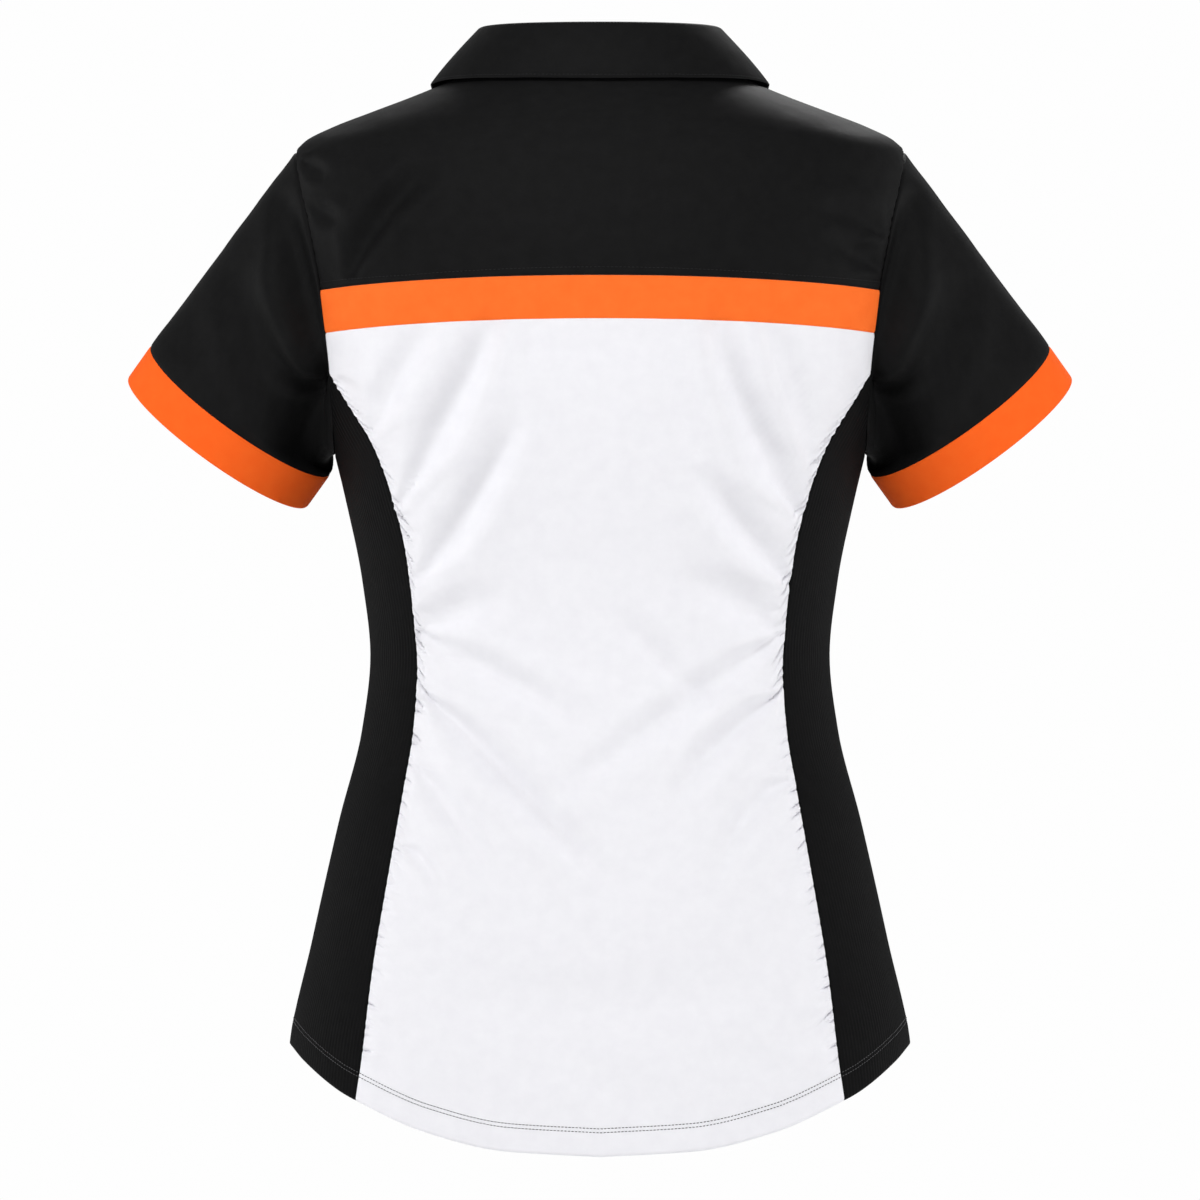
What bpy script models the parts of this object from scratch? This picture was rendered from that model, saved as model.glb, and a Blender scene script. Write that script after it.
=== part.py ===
"""A short-sleeved work shirt, filled out as if worn, with nobody in it.

Metres, +Z up. The shirt's front faces -Y and its back +Y, so the wearer's left is +X.
The origin is the middle of the neck, level with the neck seam at the back, where a wearer's neck and
shoulders would carry the shirt. Every piece is a cloth wall, cut along the seams and carried onto one
rounded form.
"""

import bpy
import bmesh
import numpy as np
from mathutils import Matrix

COLLECTION = "work_shirt"

# Cloth
WALL = 0.0012  # thickness of every cloth wall
SEAM = 0.0003  # space between two pieces that are sewn together
LAID_ON = 0.0006  # space under a button

# The flat sizes in the tables are read square-on from behind, so cloth nearer than the middle reads larger.
SIGHT = 5.0
EYE_LEVEL = -0.328

# The form: level rings from the hem to the neck, filled out a little squarer than an ellipse
SQUARENESS = 0.09
FORM_COLUMNS = ("level", "half_width", "back", "front")
FORM = np.array((
    (-0.720, 0.2010, 0.1240, 0.1220),
    (-0.609, 0.1945, 0.1200, 0.1180),
    (-0.543, 0.1805, 0.1160, 0.1140),
    (-0.467, 0.1634, 0.1080, 0.1070),
    (-0.410, 0.1490, 0.1000, 0.1010),
    (-0.363, 0.1437, 0.0960, 0.0990),
    (-0.315, 0.1489, 0.1000, 0.1080),
    (-0.268, 0.1585, 0.1090, 0.1240),
    (-0.237, 0.1660, 0.1150, 0.1290),
    (-0.210, 0.1735, 0.1190, 0.1290),
    (-0.183, 0.1800, 0.1210, 0.1250),
    (-0.155, 0.1862, 0.1210, 0.1180),
    (-0.129, 0.1905, 0.1190, 0.1100),
    (-0.101, 0.1947, 0.1140, 0.1000),
    (-0.076, 0.1960, 0.1070, 0.0890),
    (-0.060, 0.1950, 0.1010, 0.0820),
    (-0.047, 0.1915, 0.0950, 0.0750),
    (-0.040, 0.1855, 0.0915, 0.0710),
    (-0.031, 0.1678, 0.0870, 0.0650),
    (-0.0225, 0.1458, 0.0820, 0.0590),
    (-0.0125, 0.1193, 0.0755, 0.0510),
    (-0.005, 0.1010, 0.0700, 0.0440),
    (0.005, 0.0790, 0.0620, 0.0350),
    (0.015, 0.0600, 0.0520, 0.0270),
))

# Armholes: an upright oval seen from the side
ARMHOLE_MID = -0.1410
ARMHOLE_HALF = 0.0955
ARMHOLE_BACK = 0.0550
ARMHOLE_FRONT = 0.0500
SHOULDER_SEAM_FORWARD = 0.0180  # how far in front of the shoulder's ridge the yoke ends

# Back band, by its level at the middle of the back and its drop to the armholes, as seen
BAND_TOP = -0.1230
BAND_BOTTOM = -0.1502
BAND_DROP = 0.0095
BAND_REACH = 0.1750

# The seams between back or front and the side panels: distance from the middle, as seen
SIDE_SEAM_COLUMNS = ("level", "out")
SIDE_SEAM = np.array((
    (-0.6480, 0.1545),
    (-0.6184, 0.1502),
    (-0.5616, 0.1432),
    (-0.5048, 0.1338),
    (-0.4480, 0.1237),
    (-0.4100, 0.1174),
    (-0.3723, 0.1148),
    (-0.3344, 0.1174),
    (-0.2966, 0.1224),
    (-0.2587, 0.1319),
    (-0.2303, 0.1426),
    (-0.2019, 0.1596),
    (-0.1849, 0.1697),
    (-0.1700, 0.1775),
))
SIDE_SEAM_TOP = -0.1849  # where it runs into the armhole, on the back and on the front alike
SEAM_SLANT = 2.0  # length along the armhole for each length across the side seam, where they meet at a slant
SEAM_RUN_IN = 8  # how late the seam turns to end on the armhole

# Hem: the shirt tail's level by distance from the middle, as seen
HEM_COLUMNS = ("out", "level")
HEM = np.array((
    (0.0, -0.6796),
    (0.060, -0.6760),
    (0.110, -0.6640),
    (0.153, -0.6443),
    (0.165, -0.6373),
    (0.1868, -0.6184),
    (0.1945, -0.6090),
    (0.2100, -0.5900),
))

# Neck seam in plan
NECK_HALF = 0.0790
NECK_BACK = 0.0620
NECK_FRONT = 0.0860
NECK_LEVEL = 0.0050

# Collar
STAND_HEIGHT_BACK = 0.0256
STAND_HEIGHT_FRONT = 0.0240
STAND_LEAN = 0.0035
FALL_BOW = 0.0022  # how far the fall bows out between its roll and its edge
FALL_OPEN = 0.0100  # half the gap between the fall's ends at the front
FALL_CLEAR = 0.0022  # how far its edge stays off the cloth under it
FALL_COLUMNS = ("share", "x", "y")
FALL_ROLL_COLUMNS = ("share", "out", "up")
FALL_ROLL = np.array((  # the fall's inner face over the stand's top, from the stand's inner corner
    (0.00, 0.0000, 0.0003),
    (0.20, 0.0010, 0.0010),
    (0.40, 0.0022, 0.0004),
    (1.00, 0.0022, 0.0004),
))
FALL_EDGE = np.array((
    (0.00, 0.0000, 0.0705),
    (0.15, 0.0480, 0.0640),
    (0.30, 0.0860, 0.0420),
    (0.45, 0.1050, 0.0000),
    (0.62, 0.1030, -0.0400),
    (0.80, 0.0850, -0.0740),
    (1.00, 0.0620, -0.0970),
))

# Sleeves: the open end, seen from behind, and how far the tube turns forward
CUFF_MID_X = 0.2423
CUFF_MID_Z = -0.2275
CUFF_RISE = 36.25  # degrees from level, of the opening's long axis
CUFF_HALF_LONG = 0.0688
CUFF_HALF_DEEP = 0.0500
CUFF_REACH = 0.1060  # from the armhole to the open end's middle, along the sleeve
SLEEVE_FORWARD = 15.0  # degrees
SLEEVE_BAND = 0.0252
SLEEVE_SEAM = 0.0004  # space between a sleeve and its armhole
SLEEVE_SETTLES = 0.15  # share of the sleeve over which its cloth turns to lie along a seam
SLEEVE_TWIST = 0.30  # radians, how far the underarm turns back toward the armhole's lowest point
SLEEVE_OVER = 0.60  # how much the top of the sleeve follows the shoulder before it turns down
SLEEVE_OVER_FROM = -0.3  # height on the armhole, 1 at its top and -1 at its bottom, where that begins
SLEEVE_LEAVES = 0.050  # how strongly the sleeve leaves the armhole
SLEEVE_ARRIVES = 0.110  # and how strongly it runs straight into its band
SLEEVE_MOST = 0.9  # neither is more than this share of the sleeve's length there

# Soft folds, as seen from behind: a trough from one end to the other, bent at its middle
FOLD_COLUMNS = ("x1", "z1", "x2", "z2", "bend", "width", "depth")
FOLDS = np.array((
    (0.114, -0.383, -0.008, -0.514, -0.006, 0.016, 0.0034),
    (0.112, -0.436, 0.063, -0.508, -0.004, 0.012, 0.0022),
    (0.123, -0.484, 0.096, -0.517, -0.002, 0.009, 0.0016),
    (0.110, -0.347, 0.005, -0.410, -0.004, 0.018, 0.0026),
    (0.082, -0.158, 0.121, -0.262, 0.004, 0.018, 0.0034),
    (0.056, -0.212, 0.104, -0.308, 0.004, 0.015, 0.0026),
    (0.113, -0.160, 0.138, -0.215, 0.002, 0.012, 0.0016),
    (-0.076, -0.162, -0.124, -0.262, 0.005, 0.017, 0.0034),
    (-0.063, -0.234, -0.118, -0.314, 0.003, 0.015, 0.0026),
    (-0.107, -0.167, -0.127, -0.213, 0.002, 0.012, 0.0014),
    (-0.113, -0.349, 0.010, -0.440, -0.006, 0.018, 0.0030),
    (-0.107, -0.389, -0.052, -0.456, -0.004, 0.014, 0.0030),
    (-0.115, -0.443, -0.072, -0.508, -0.003, 0.011, 0.0024),
    (-0.013, -0.335, -0.066, -0.384, 0.003, 0.014, 0.0018),
    (0.041, -0.606, -0.030, -0.650, 0.000, 0.022, 0.0016),
    (0.130, -0.075, 0.154, -0.122, 0.004, 0.012, 0.0020),
    (-0.163, -0.093, -0.175, -0.098, 0.000, 0.010, 0.0014),
))
FOLD_END = 0.5  # share of its depth that a fold keeps at its ends
FOLDS_FROM = 0.020  # how far behind the middle the folds begin
FOLDS_FULL = 0.050  # and where they have their full depth

# Gathers: the white cloth is drawn in a little along both side seams, on the back and on the fronts
GATHERS_PER_ROW = 3  # small crests along one row of the seam's cloth
GATHER_HEIGHT = 0.0008
GATHER_UNEVEN = 0.7  # how much lower the lowest are
GATHER_BEAT = 1.9  # radians of that unevenness for each half gather
GATHER_HEM = 1.2  # rows above the hem where they begin
GATHER_FULL = 2.7  # and where they have their full height

# Placket and buttons
PLACKET_HALF = 0.0150
PLACKET_CLEAR = 0.0007
PLACKET_BELOW_NECK = 0.0004
BUTTON_RADIUS = 0.0057
BUTTON_THICK = 0.0026
BUTTON_EDGE = 0.0007  # bevel of its rims
BUTTON_TOP = -0.1150  # level of the placket's highest button
BUTTON_PITCH = 0.0860
BUTTONS_ON_PLACKET = 6

# How finely each stretch is cut up. Both sides of a seam use the same count, so their edges keep their gap.
ROWS_SIDE_SEAM = 22
ROWS_ARM_BACK = 3
ROWS_BAND = 2
ROWS_YOKE = 12
ROWS_ARM_FRONT = 6
COLUMNS_SIDE = 6
COLUMNS_SHOULDER = 4
COLUMNS_NECK_BACK = 12
COLUMNS_NECK_FRONT = 3
COLUMNS_FALL_GAP = 1
ROWS_SLEEVE = 8

COLOURS = {
    "white_cloth": ((0.84, 0.845, 0.88), 0.85),
    "black_cloth": ((0.012, 0.012, 0.012), 0.85),
    "orange_cloth": ((1.0, 0.19, 0.033), 0.80),
    "ribbed_cloth": ((0.010, 0.010, 0.010), 0.90),
    "button_black": ((0.015, 0.015, 0.016), 0.35),
}


def column(table, names, name, at):
    """One column of a table, read at any place by a smooth curve that never passes its rows' range."""
    x = table[:, 0]
    y = table[:, names.index(name)]
    step = np.diff(x)
    rise = np.diff(y) / step
    slope = np.zeros_like(y)
    slope[0] = rise[0]
    slope[-1] = rise[-1]
    both = rise[:-1] * rise[1:]
    safe_sum = np.where(both > 0, rise[:-1] + rise[1:], 1.0)
    slope[1:-1] = np.where(both > 0, 2 * both / safe_sum, 0.0)
    i = np.clip(np.searchsorted(x, at) - 1, 0, len(x) - 2)
    t = np.clip((at - x[i]) / step[i], 0.0, 1.0)
    start = (1 + 2 * t) * (1 - t) ** 2 * y[i] + t * (1 - t) ** 2 * step[i] * slope[i]
    end = t * t * (3 - 2 * t) * y[i + 1] - t * t * (1 - t) * step[i] * slope[i + 1]
    return start + end


def unit(vectors):
    return vectors / np.linalg.norm(vectors, axis=-1, keepdims=True)


def smoothstep(t):
    t = np.clip(t, 0.0, 1.0)
    return t * t * (3 - 2 * t)


def depth(behind, level):
    """Half depth of the ring at a level, on the back where behind is true, on the front elsewhere."""
    back = column(FORM, FORM_COLUMNS, "back", level)
    front = column(FORM, FORM_COLUMNS, "front", level)
    return np.where(behind, back, front)


def plain_form(angle, level):
    """A point of the form. Angle 0 is the wearer's left side, a quarter turn is the middle of the back."""
    half_width = column(FORM, FORM_COLUMNS, "half_width", level)
    c = np.cos(angle)
    s = np.sin(angle)
    x = half_width * c * (1 + SQUARENESS * s * s)
    y = depth(s >= 0, level) * s * (1 + SQUARENESS * c * c)
    return np.stack((x, y, level + 0 * x), axis=-1)


def form_normal(angle, level):
    """The form's outward direction, by small steps both ways."""
    turn = 0.004
    lift = 0.0006
    along = plain_form(angle + turn, level) - plain_form(angle - turn, level)
    up = plain_form(angle, level + lift) - plain_form(angle, level - lift)
    return unit(np.cross(along, up))


def seen(points):
    """Where points of the shirt seem to lie, read square-on from behind."""
    scale = 1 / (1 - points[..., 1] / SIGHT)
    x = points[..., 0] * scale
    z = EYE_LEVEL + (points[..., 2] - EYE_LEVEL) * scale
    return x, z


def fold_depth(points):
    """How deep the soft folds press the back in at these points."""
    x, z = seen(points)
    total = np.zeros_like(x)
    for row in FOLDS:
        fold = dict(zip(FOLD_COLUMNS, row))
        run = np.array((fold["x2"] - fold["x1"], fold["z2"] - fold["z1"]))
        length = np.hypot(*run)
        run = run / length
        along = (x - fold["x1"]) * run[0] + (z - fold["z1"]) * run[1]
        across = (z - fold["z1"]) * run[0] - (x - fold["x1"]) * run[1]
        share = np.clip(along / length, 0.0, 1.0)
        middle = fold["bend"] * 4 * share * (1 - share)
        past_end = np.maximum(np.maximum(-along, along - length), 0.0)
        distance = np.hypot(across - middle, past_end)
        swell = FOLD_END + (1 - FOLD_END) * np.sin(np.pi * share)
        total += fold["depth"] * swell * np.exp(-((distance / fold["width"]) ** 2))
    return total * smoothstep((points[..., 1] - FOLDS_FROM) / (FOLDS_FULL - FOLDS_FROM))


def form(angle, level):
    """A point of the form with its soft folds, and the outward direction there."""
    points = plain_form(angle, level)
    outward = form_normal(angle, level)
    return points - outward * fold_depth(points)[..., None], outward


def inverse_share(ratio):
    """The cosine or sine whose squared-off value is this share of a ring's half size."""
    value = np.clip(np.asarray(ratio, dtype=float), -1.0, 1.0)
    aim = value
    for _ in range(14):
        value = np.clip((aim + SQUARENESS * value**3) / (1 + SQUARENESS), -1.0, 1.0)
    return value


def angle_at_x(x, level, side):
    """The angle of the form's point at this distance x, on the back (side 1) or the front (side -1)."""
    half_width = column(FORM, FORM_COLUMNS, "half_width", level)
    return side * np.arccos(inverse_share(x / half_width))


def level_under(x, y):
    """The form's level at a place in plan, above the chest and the back's fullest part."""
    low = np.full_like(x, -0.190)
    high = np.full_like(x, 0.015)
    for _ in range(40):
        mid = (low + high) / 2
        half_width = column(FORM, FORM_COLUMNS, "half_width", mid)
        across = x / half_width
        deep = y / depth(y >= 0, mid)
        angle = np.arctan2(deep, across)
        for _ in range(6):
            s = np.sin(angle)
            c = np.cos(angle)
            angle = np.arctan2(deep * (1 + SQUARENESS * s * s), across * (1 + SQUARENESS * c * c))
        ring = (np.cos(angle) * (1 + SQUARENESS * np.sin(angle) ** 2)) ** 2
        ring += (np.sin(angle) * (1 + SQUARENESS * np.cos(angle) ** 2)) ** 2
        outside = across**2 + deep**2 > ring
        high = np.where(outside, mid, high)
        low = np.where(outside, low, mid)
    return (low + high) / 2, angle


def armhole(turn):
    """The left armhole on the form. Turn 0 is its back, a quarter its top; it runs on to front and bottom."""
    level = ARMHOLE_MID + ARMHOLE_HALF * np.sin(turn)
    y = np.where(np.cos(turn) >= 0, ARMHOLE_BACK, ARMHOLE_FRONT) * np.cos(turn)
    angle = np.arcsin(inverse_share(y / depth(y >= 0, level)))
    return np.stack((angle, level), axis=-1)


def armhole_turn(level, side):
    """The armhole's turn at a level, on its back (side 1) or its front (side -1)."""
    turn = np.arcsin(np.clip((level - ARMHOLE_MID) / ARMHOLE_HALF, -1.0, 1.0))
    return turn if side > 0 else np.pi - turn


def settle(side, level_seen, x_seen):
    """The form's angle and level at a place read from behind, on the back or the front."""
    level = np.asarray(level_seen, dtype=float)
    x = np.asarray(x_seen, dtype=float)
    aim_level = level
    aim_x = x
    for _ in range(8):
        angle = angle_at_x(x, level, 1)
        nearness = 1 - plain_form(angle, level)[..., 1] / SIGHT
        x = aim_x * nearness
        level = EYE_LEVEL + (aim_level - EYE_LEVEL) * nearness
    return np.stack((side * angle_at_x(x, level, 1), level), axis=-1)


def even(path, count=400):
    """A path over the form, timed so that equal shares are equal lengths of cloth."""
    share = np.linspace(0.0, 1.0, count)
    places = path(share)
    points = plain_form(places[:, 0], places[:, 1])
    run = np.concatenate(((0.0,), np.cumsum(np.linalg.norm(np.diff(points, axis=0), axis=1))))
    run = run / run[-1]

    def timed(t):
        return np.stack((np.interp(t, run, places[:, 0]), np.interp(t, run, places[:, 1])), axis=-1)

    return timed


def joined(paths, shares):
    """Paths end to end, each over its own share of the whole."""
    stops = np.concatenate(((0.0,), np.cumsum(shares))) / np.sum(shares)

    def whole(t):
        t = np.asarray(t, dtype=float)
        piece = np.clip(np.searchsorted(stops, t, side="right") - 1, 0, len(paths) - 1)
        out = np.zeros(t.shape + (2,))
        for number, path in enumerate(paths):
            part = np.clip((t - stops[number]) / (stops[number + 1] - stops[number]), 0.0, 1.0)
            out = np.where((piece == number)[..., None], path(part), out)
        return out

    return whole


def reverse(path):
    return lambda t: path(1 - np.asarray(t, dtype=float))


def mirrored(path):
    """The same path on the wearer's right."""
    return lambda t: path(t) * np.array((-1.0, 1.0)) + np.array((np.pi, 0.0))


def side_profile():
    """Levels of the form and the length of cloth up its side to each of them."""
    levels = np.linspace(FORM[0, 0], FORM[-1, 0], 2000)
    half_width = column(FORM, FORM_COLUMNS, "half_width", levels)
    run = np.concatenate(((0.0,), np.cumsum(np.hypot(np.diff(half_width), np.diff(levels)))))
    return levels, run


def patch(bottom, top, left, right, reach=1):
    """Fills four paths that meet at their corners. A higher reach keeps the sides' bends nearer to them."""
    levels, run = side_profile()

    def laid_out(path, t):
        """A path's angle, and its level as a length of cloth up the form's side."""
        places = path(t)
        return np.stack((places[..., 0], np.interp(places[..., 1], levels, run)), axis=-1)

    def bend(side, v):
        """How far a side strays from the straight line between its ends."""
        ends = laid_out(side, np.zeros(1)) * (1 - v)[..., None] + laid_out(side, np.ones(1)) * v[..., None]
        return laid_out(side, v) - ends

    def inside(u, v):
        ruled = laid_out(bottom, u) * (1 - v)[..., None] + laid_out(top, u) * v[..., None]
        ruled = ruled + bend(left, v) * ((1 - u) ** reach)[..., None]
        ruled = ruled + bend(right, v) * (u**reach)[..., None]
        return np.stack((ruled[..., 0], np.interp(ruled[..., 1], run, levels)), axis=-1)

    return inside


def seam_meets_armhole(side, gap):
    """The armhole's turn where the side seam, moved by gap toward the side panel, runs into it."""
    out = float(column(SIDE_SEAM, SIDE_SEAM_COLUMNS, "out", SIDE_SEAM_TOP))
    level = float(settle(1, SIDE_SEAM_TOP, out)[1])
    return armhole_turn(level, side) - side * gap * SEAM_SLANT / ARMHOLE_HALF


def side_seam(side, gap):
    """The left seam from hem to armhole, moved by gap toward the side panel (positive) or away from it."""
    start = hem_meets_side_seam()
    meets = armhole(np.array(seam_meets_armhole(side, gap)))

    def unmoved(t):
        level = start + (SIDE_SEAM_TOP - start) * t
        place = settle(1, level, column(SIDE_SEAM, SIDE_SEAM_COLUMNS, "out", level))
        half_width = column(FORM, FORM_COLUMNS, "half_width", place[..., 1])
        return np.stack((side * (place[..., 0] - gap / half_width), place[..., 1]), axis=-1)

    def path(t):
        t = np.asarray(t, dtype=float)
        return unmoved(t) + (meets - unmoved(np.ones(()))) * t[..., None] ** SEAM_RUN_IN

    return path


def hem_meets_side_seam():
    """The level, as seen, where the side seam reaches the hem."""
    level = -0.644
    for _ in range(20):
        level = float(column(HEM, HEM_COLUMNS, "level", column(SIDE_SEAM, SIDE_SEAM_COLUMNS, "out", level)))
    return level


def hem(first, last):
    """The hem from one angle round to another, turning from +X over the back or the front."""

    def path(t):
        angle = first + (last - first) * np.asarray(t, dtype=float)
        level = np.full_like(angle, -0.65)
        for _ in range(12):
            points = plain_form(np.abs(angle), level)
            x, _ = seen(points)
            level_seen = column(HEM, HEM_COLUMNS, "level", np.abs(x))
            level = EYE_LEVEL + (level_seen - EYE_LEVEL) * (1 - points[..., 1] / SIGHT)
        return np.stack((angle, level), axis=-1)

    return path


def band_ends(level_middle):
    """A band line's true level at the middle of the back and at its ends."""
    middle = settle(1, np.array(level_middle), np.array(0.0))
    end = settle(1, np.array(level_middle - BAND_DROP), np.array(BAND_REACH))
    return float(middle[1]), float(end[1])


def band_line(level_middle, gap):
    """A line across the back from the left armhole to the right one, moved up by gap."""
    middle, end = band_ends(level_middle)
    reach = float(armhole(np.array(armhole_turn(end + gap, 1)))[0])

    def path(t):
        angle = reach + (np.pi - 2 * reach) * np.asarray(t, dtype=float)
        share = np.cos(angle) / np.cos(reach)
        return np.stack((angle, middle + (end - middle) * share**2 + gap), axis=-1)

    return path


def even_turns(curve, first, last):
    """Turns along a curve of the form, timed so that equal shares are equal lengths of cloth."""
    turns = np.linspace(first, last, 400)
    places = curve(turns)
    points = plain_form(places[:, 0], places[:, 1])
    run = np.concatenate(((0.0,), np.cumsum(np.linalg.norm(np.diff(points, axis=0), axis=1))))
    return lambda t: np.interp(t, run / run[-1], turns)


def armhole_piece(first, last):
    """The left armhole between two of its turns."""
    turns = even_turns(armhole, first, last)
    return lambda t: armhole(turns(t))


def neck(turn):
    """The neck seam's place on the form: angle and level. Turn 0 is the left, a quarter the back."""
    back_share = np.where(np.sin(turn) >= 0, NECK_BACK, NECK_FRONT)
    c = np.cos(turn)
    s = np.sin(turn)
    x = NECK_HALF * c * (1 + SQUARENESS * s * s)
    y = back_share * s * (1 + SQUARENESS * c * c)
    level, angle = level_under(x, np.where(np.abs(y) < 1e-9, 1e-9, y))
    behind = s >= -1e-9
    level = np.where(behind, NECK_LEVEL, level)
    angle = np.where(behind, turn, angle)
    return np.stack((np.where(angle < -np.pi / 2 - 1e-9, angle + 2 * np.pi, angle), level), axis=-1)


def neck_piece(first, last):
    """The neck seam between two of its turns."""
    turns = even_turns(neck, first, last)
    return lambda t: neck(turns(t))


def stations(curve, stretches):
    """Turns right round a closed curve, from stretches: each has its first turn, last turn and count."""
    turns = [even_turns(curve, first, last)(np.arange(count) / count) for first, last, count in stretches]
    return np.concatenate(turns + [np.array((stretches[-1][1],))])


def armhole_stations():
    """The armhole's turns, one for each corner of the pieces there, from the front of the side panel."""
    low = side_seam_turns(0)
    arm = shoulder_ends()[0]
    band_low = armhole_turn(band_ends(BAND_BOTTOM)[1], 1)
    band_high = armhole_turn(band_ends(BAND_TOP)[1], 1)
    return stations(armhole, (
        (low[0], low[1], COLUMNS_SIDE),
        (low[1], band_low, ROWS_ARM_BACK),
        (band_low, band_high, ROWS_BAND),
        (band_high, arm, ROWS_YOKE),
        (arm, low[0] + 2 * np.pi, ROWS_ARM_FRONT),
    ))


def side_seam_turns(gap):
    """The armhole's turns where the front and the back side seams run into it."""
    return seam_meets_armhole(-1, gap) - 2 * np.pi, seam_meets_armhole(1, gap)


def neck_stations():
    """The neck seam's turns, one for each corner of the pieces that meet it, from the front's middle."""
    collar = shoulder_ends()[1]
    fall = fall_end()
    return stations(neck, (
        (-np.pi / 2, fall, COLUMNS_FALL_GAP),
        (fall, collar, COLUMNS_NECK_FRONT),
        (collar, np.pi - collar, COLUMNS_NECK_BACK),
        (np.pi - collar, np.pi - fall, COLUMNS_NECK_FRONT),
        (np.pi - fall, 1.5 * np.pi, COLUMNS_FALL_GAP),
    ))


def fall_end():
    """The neck seam's turn where the fall ends, at the left of the front's middle."""
    return -np.pi / 2 + np.arcsin(FALL_OPEN / NECK_HALF)


def turn_at(turns, u):
    """The turn at a share of the way through a list of stations."""
    return np.interp(u, np.linspace(0.0, 1.0, len(turns)), turns)


def shoulder_ends():
    """Where the forward shoulder seam meets the left armhole (its turn) and the neck (its turn)."""
    arm = np.pi - np.arccos(SHOULDER_SEAM_FORWARD / ARMHOLE_FRONT)
    collar = -np.arcsin(SHOULDER_SEAM_FORWARD / NECK_FRONT)
    return arm, collar


def shoulder_seam(gap):
    """The left forward shoulder seam, from the armhole up to the neck, moved back by gap."""
    arm, collar = shoulder_ends()
    start = armhole(np.array(arm))
    end = neck(np.array(collar))

    def path(t):
        t = np.asarray(t, dtype=float)
        level = start[1] + (end[1] - start[1]) * t
        y_start = plain_form(start[0], start[1])[1]
        y_end = plain_form(end[0], end[1])[1]
        y = y_start + (y_end - y_start) * smoothstep(t) + gap
        angle = np.arcsin(inverse_share(y / depth(False, level)))
        return np.stack((angle, level), axis=-1)

    return path


def cloth_material(name):
    """A plain Principled material in one of the shirt's colours."""
    material = bpy.data.materials.get(name)
    if material is None:
        colour, roughness = COLOURS[name]
        material = bpy.data.materials.new(name)
        material.use_nodes = True
        shader = material.node_tree.nodes["Principled BSDF"]
        shader.inputs["Base Color"].default_value = (*colour, 1.0)
        shader.inputs["Roughness"].default_value = roughness
        shader.inputs["Metallic"].default_value = 0.0
    return material


def add_object(name, shape, material):
    mesh = bpy.data.meshes.new(name)
    shape.to_mesh(mesh)
    shape.free()
    mesh.materials.append(cloth_material(material))
    piece = bpy.data.objects.new(name, mesh)
    bpy.data.collections[COLLECTION].objects.link(piece)
    return piece


def cut_for_gathers(shape, rows, edges_at):
    """Cuts a flat grid's side edges, up to a row below the armhole, finely enough for their gathers."""
    top = (ROWS_SIDE_SEAM - 1) / rows - 0.5

    def along_seam(edge):
        ends = [vertex.co for vertex in edge.verts]
        on_side = any(all(abs(end.x - at) < 1e-5 for end in ends) for at in edges_at)
        return on_side and max(end.y for end in ends) < top + 1e-5

    seam = [edge for edge in shape.edges if along_seam(edge)]
    bmesh.ops.subdivide_edges(shape, edges=seam, cuts=2 * GATHERS_PER_ROW - 1)
    many_sided = [face for face in shape.faces if len(face.verts) > 4]
    bmesh.ops.triangulate(shape, faces=many_sided)


def gather_lift(v, rows):
    """How far each gather stands off the panel, by its share of the way up a panel of so many rows."""
    step = v * rows * 2 * GATHERS_PER_ROW
    crest = 0.5 - 0.5 * np.cos(np.pi * np.round(step))
    uneven = 1 - GATHER_UNEVEN * (0.5 - 0.5 * np.sin(GATHER_BEAT * step))
    above_hem = smoothstep((v * rows - GATHER_HEM) / (GATHER_FULL - GATHER_HEM))
    return GATHER_HEIGHT * crest * uneven * above_hem


def gathered(place, u, v, rows):
    """Points and directions of a panel whose seam is cut finer than its rows, with the gathers raised."""
    row = np.floor(v * rows + 1e-4)
    part_row = np.clip(v * rows - row, 0.0, 1.0)[:, None]
    part_row = np.where(part_row < 1e-3, 0.0, part_row)
    low_points, low_out = place(u, row / rows)
    high_points, high_out = place(u, np.minimum(row + 1, rows) / rows)
    points = low_points * (1 - part_row) + high_points * part_row
    outward = unit(low_out * (1 - part_row) + high_out * part_row)
    return points + outward * gather_lift(v, rows)[:, None] * (part_row > 0), outward


def cloth(name, columns, rows, place, material, closed=False, gathers=()):
    """A cloth wall. place(u, v) gives the inner points and outward directions over columns and rows."""
    shape = bmesh.new()
    bmesh.ops.create_grid(shape, x_segments=columns, y_segments=rows, size=0.5)
    if gathers:
        cut_for_gathers(shape, rows, gathers)
    across = shape.verts.layers.float.new("across")
    up = shape.verts.layers.float.new("up")
    outer = shape.verts.layers.float.new("outer")
    for vertex in shape.verts:
        vertex[across] = vertex.co.x + 0.5
        vertex[up] = vertex.co.y + 0.5
    if closed:
        for vertex in shape.verts:
            turn = 2 * np.pi * vertex[across]
            vertex.co = (np.cos(turn), np.sin(turn), vertex[up])
        bmesh.ops.remove_doubles(shape, verts=shape.verts[:], dist=1e-5)
    raised = bmesh.ops.extrude_face_region(shape, geom=shape.faces[:], use_keep_orig=True)
    for item in raised["geom"]:
        if isinstance(item, bmesh.types.BMVert):
            item[outer] = 1.0
    u = np.array([vertex[across] for vertex in shape.verts])
    v = np.array([vertex[up] for vertex in shape.verts])
    w = np.array([vertex[outer] for vertex in shape.verts])
    points, outward = gathered(place, u, v, rows) if gathers else place(u, v)
    points = points + outward * (w * WALL)[:, None]
    for vertex, point in zip(shape.verts, points):
        vertex.co = point
    bmesh.ops.recalc_face_normals(shape, faces=shape.faces[:])
    if shape.calc_volume(signed=True) < 0:
        bmesh.ops.reverse_faces(shape, faces=shape.faces[:])
    return add_object(name, shape, material)


def on_form(inside, lift=0.0):
    """Places a patch's points on the form, raised by lift."""

    def place(u, v):
        spot = inside(u, v)
        points, outward = form(spot[..., 0], spot[..., 1])
        return points + outward * lift, outward

    return place


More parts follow.
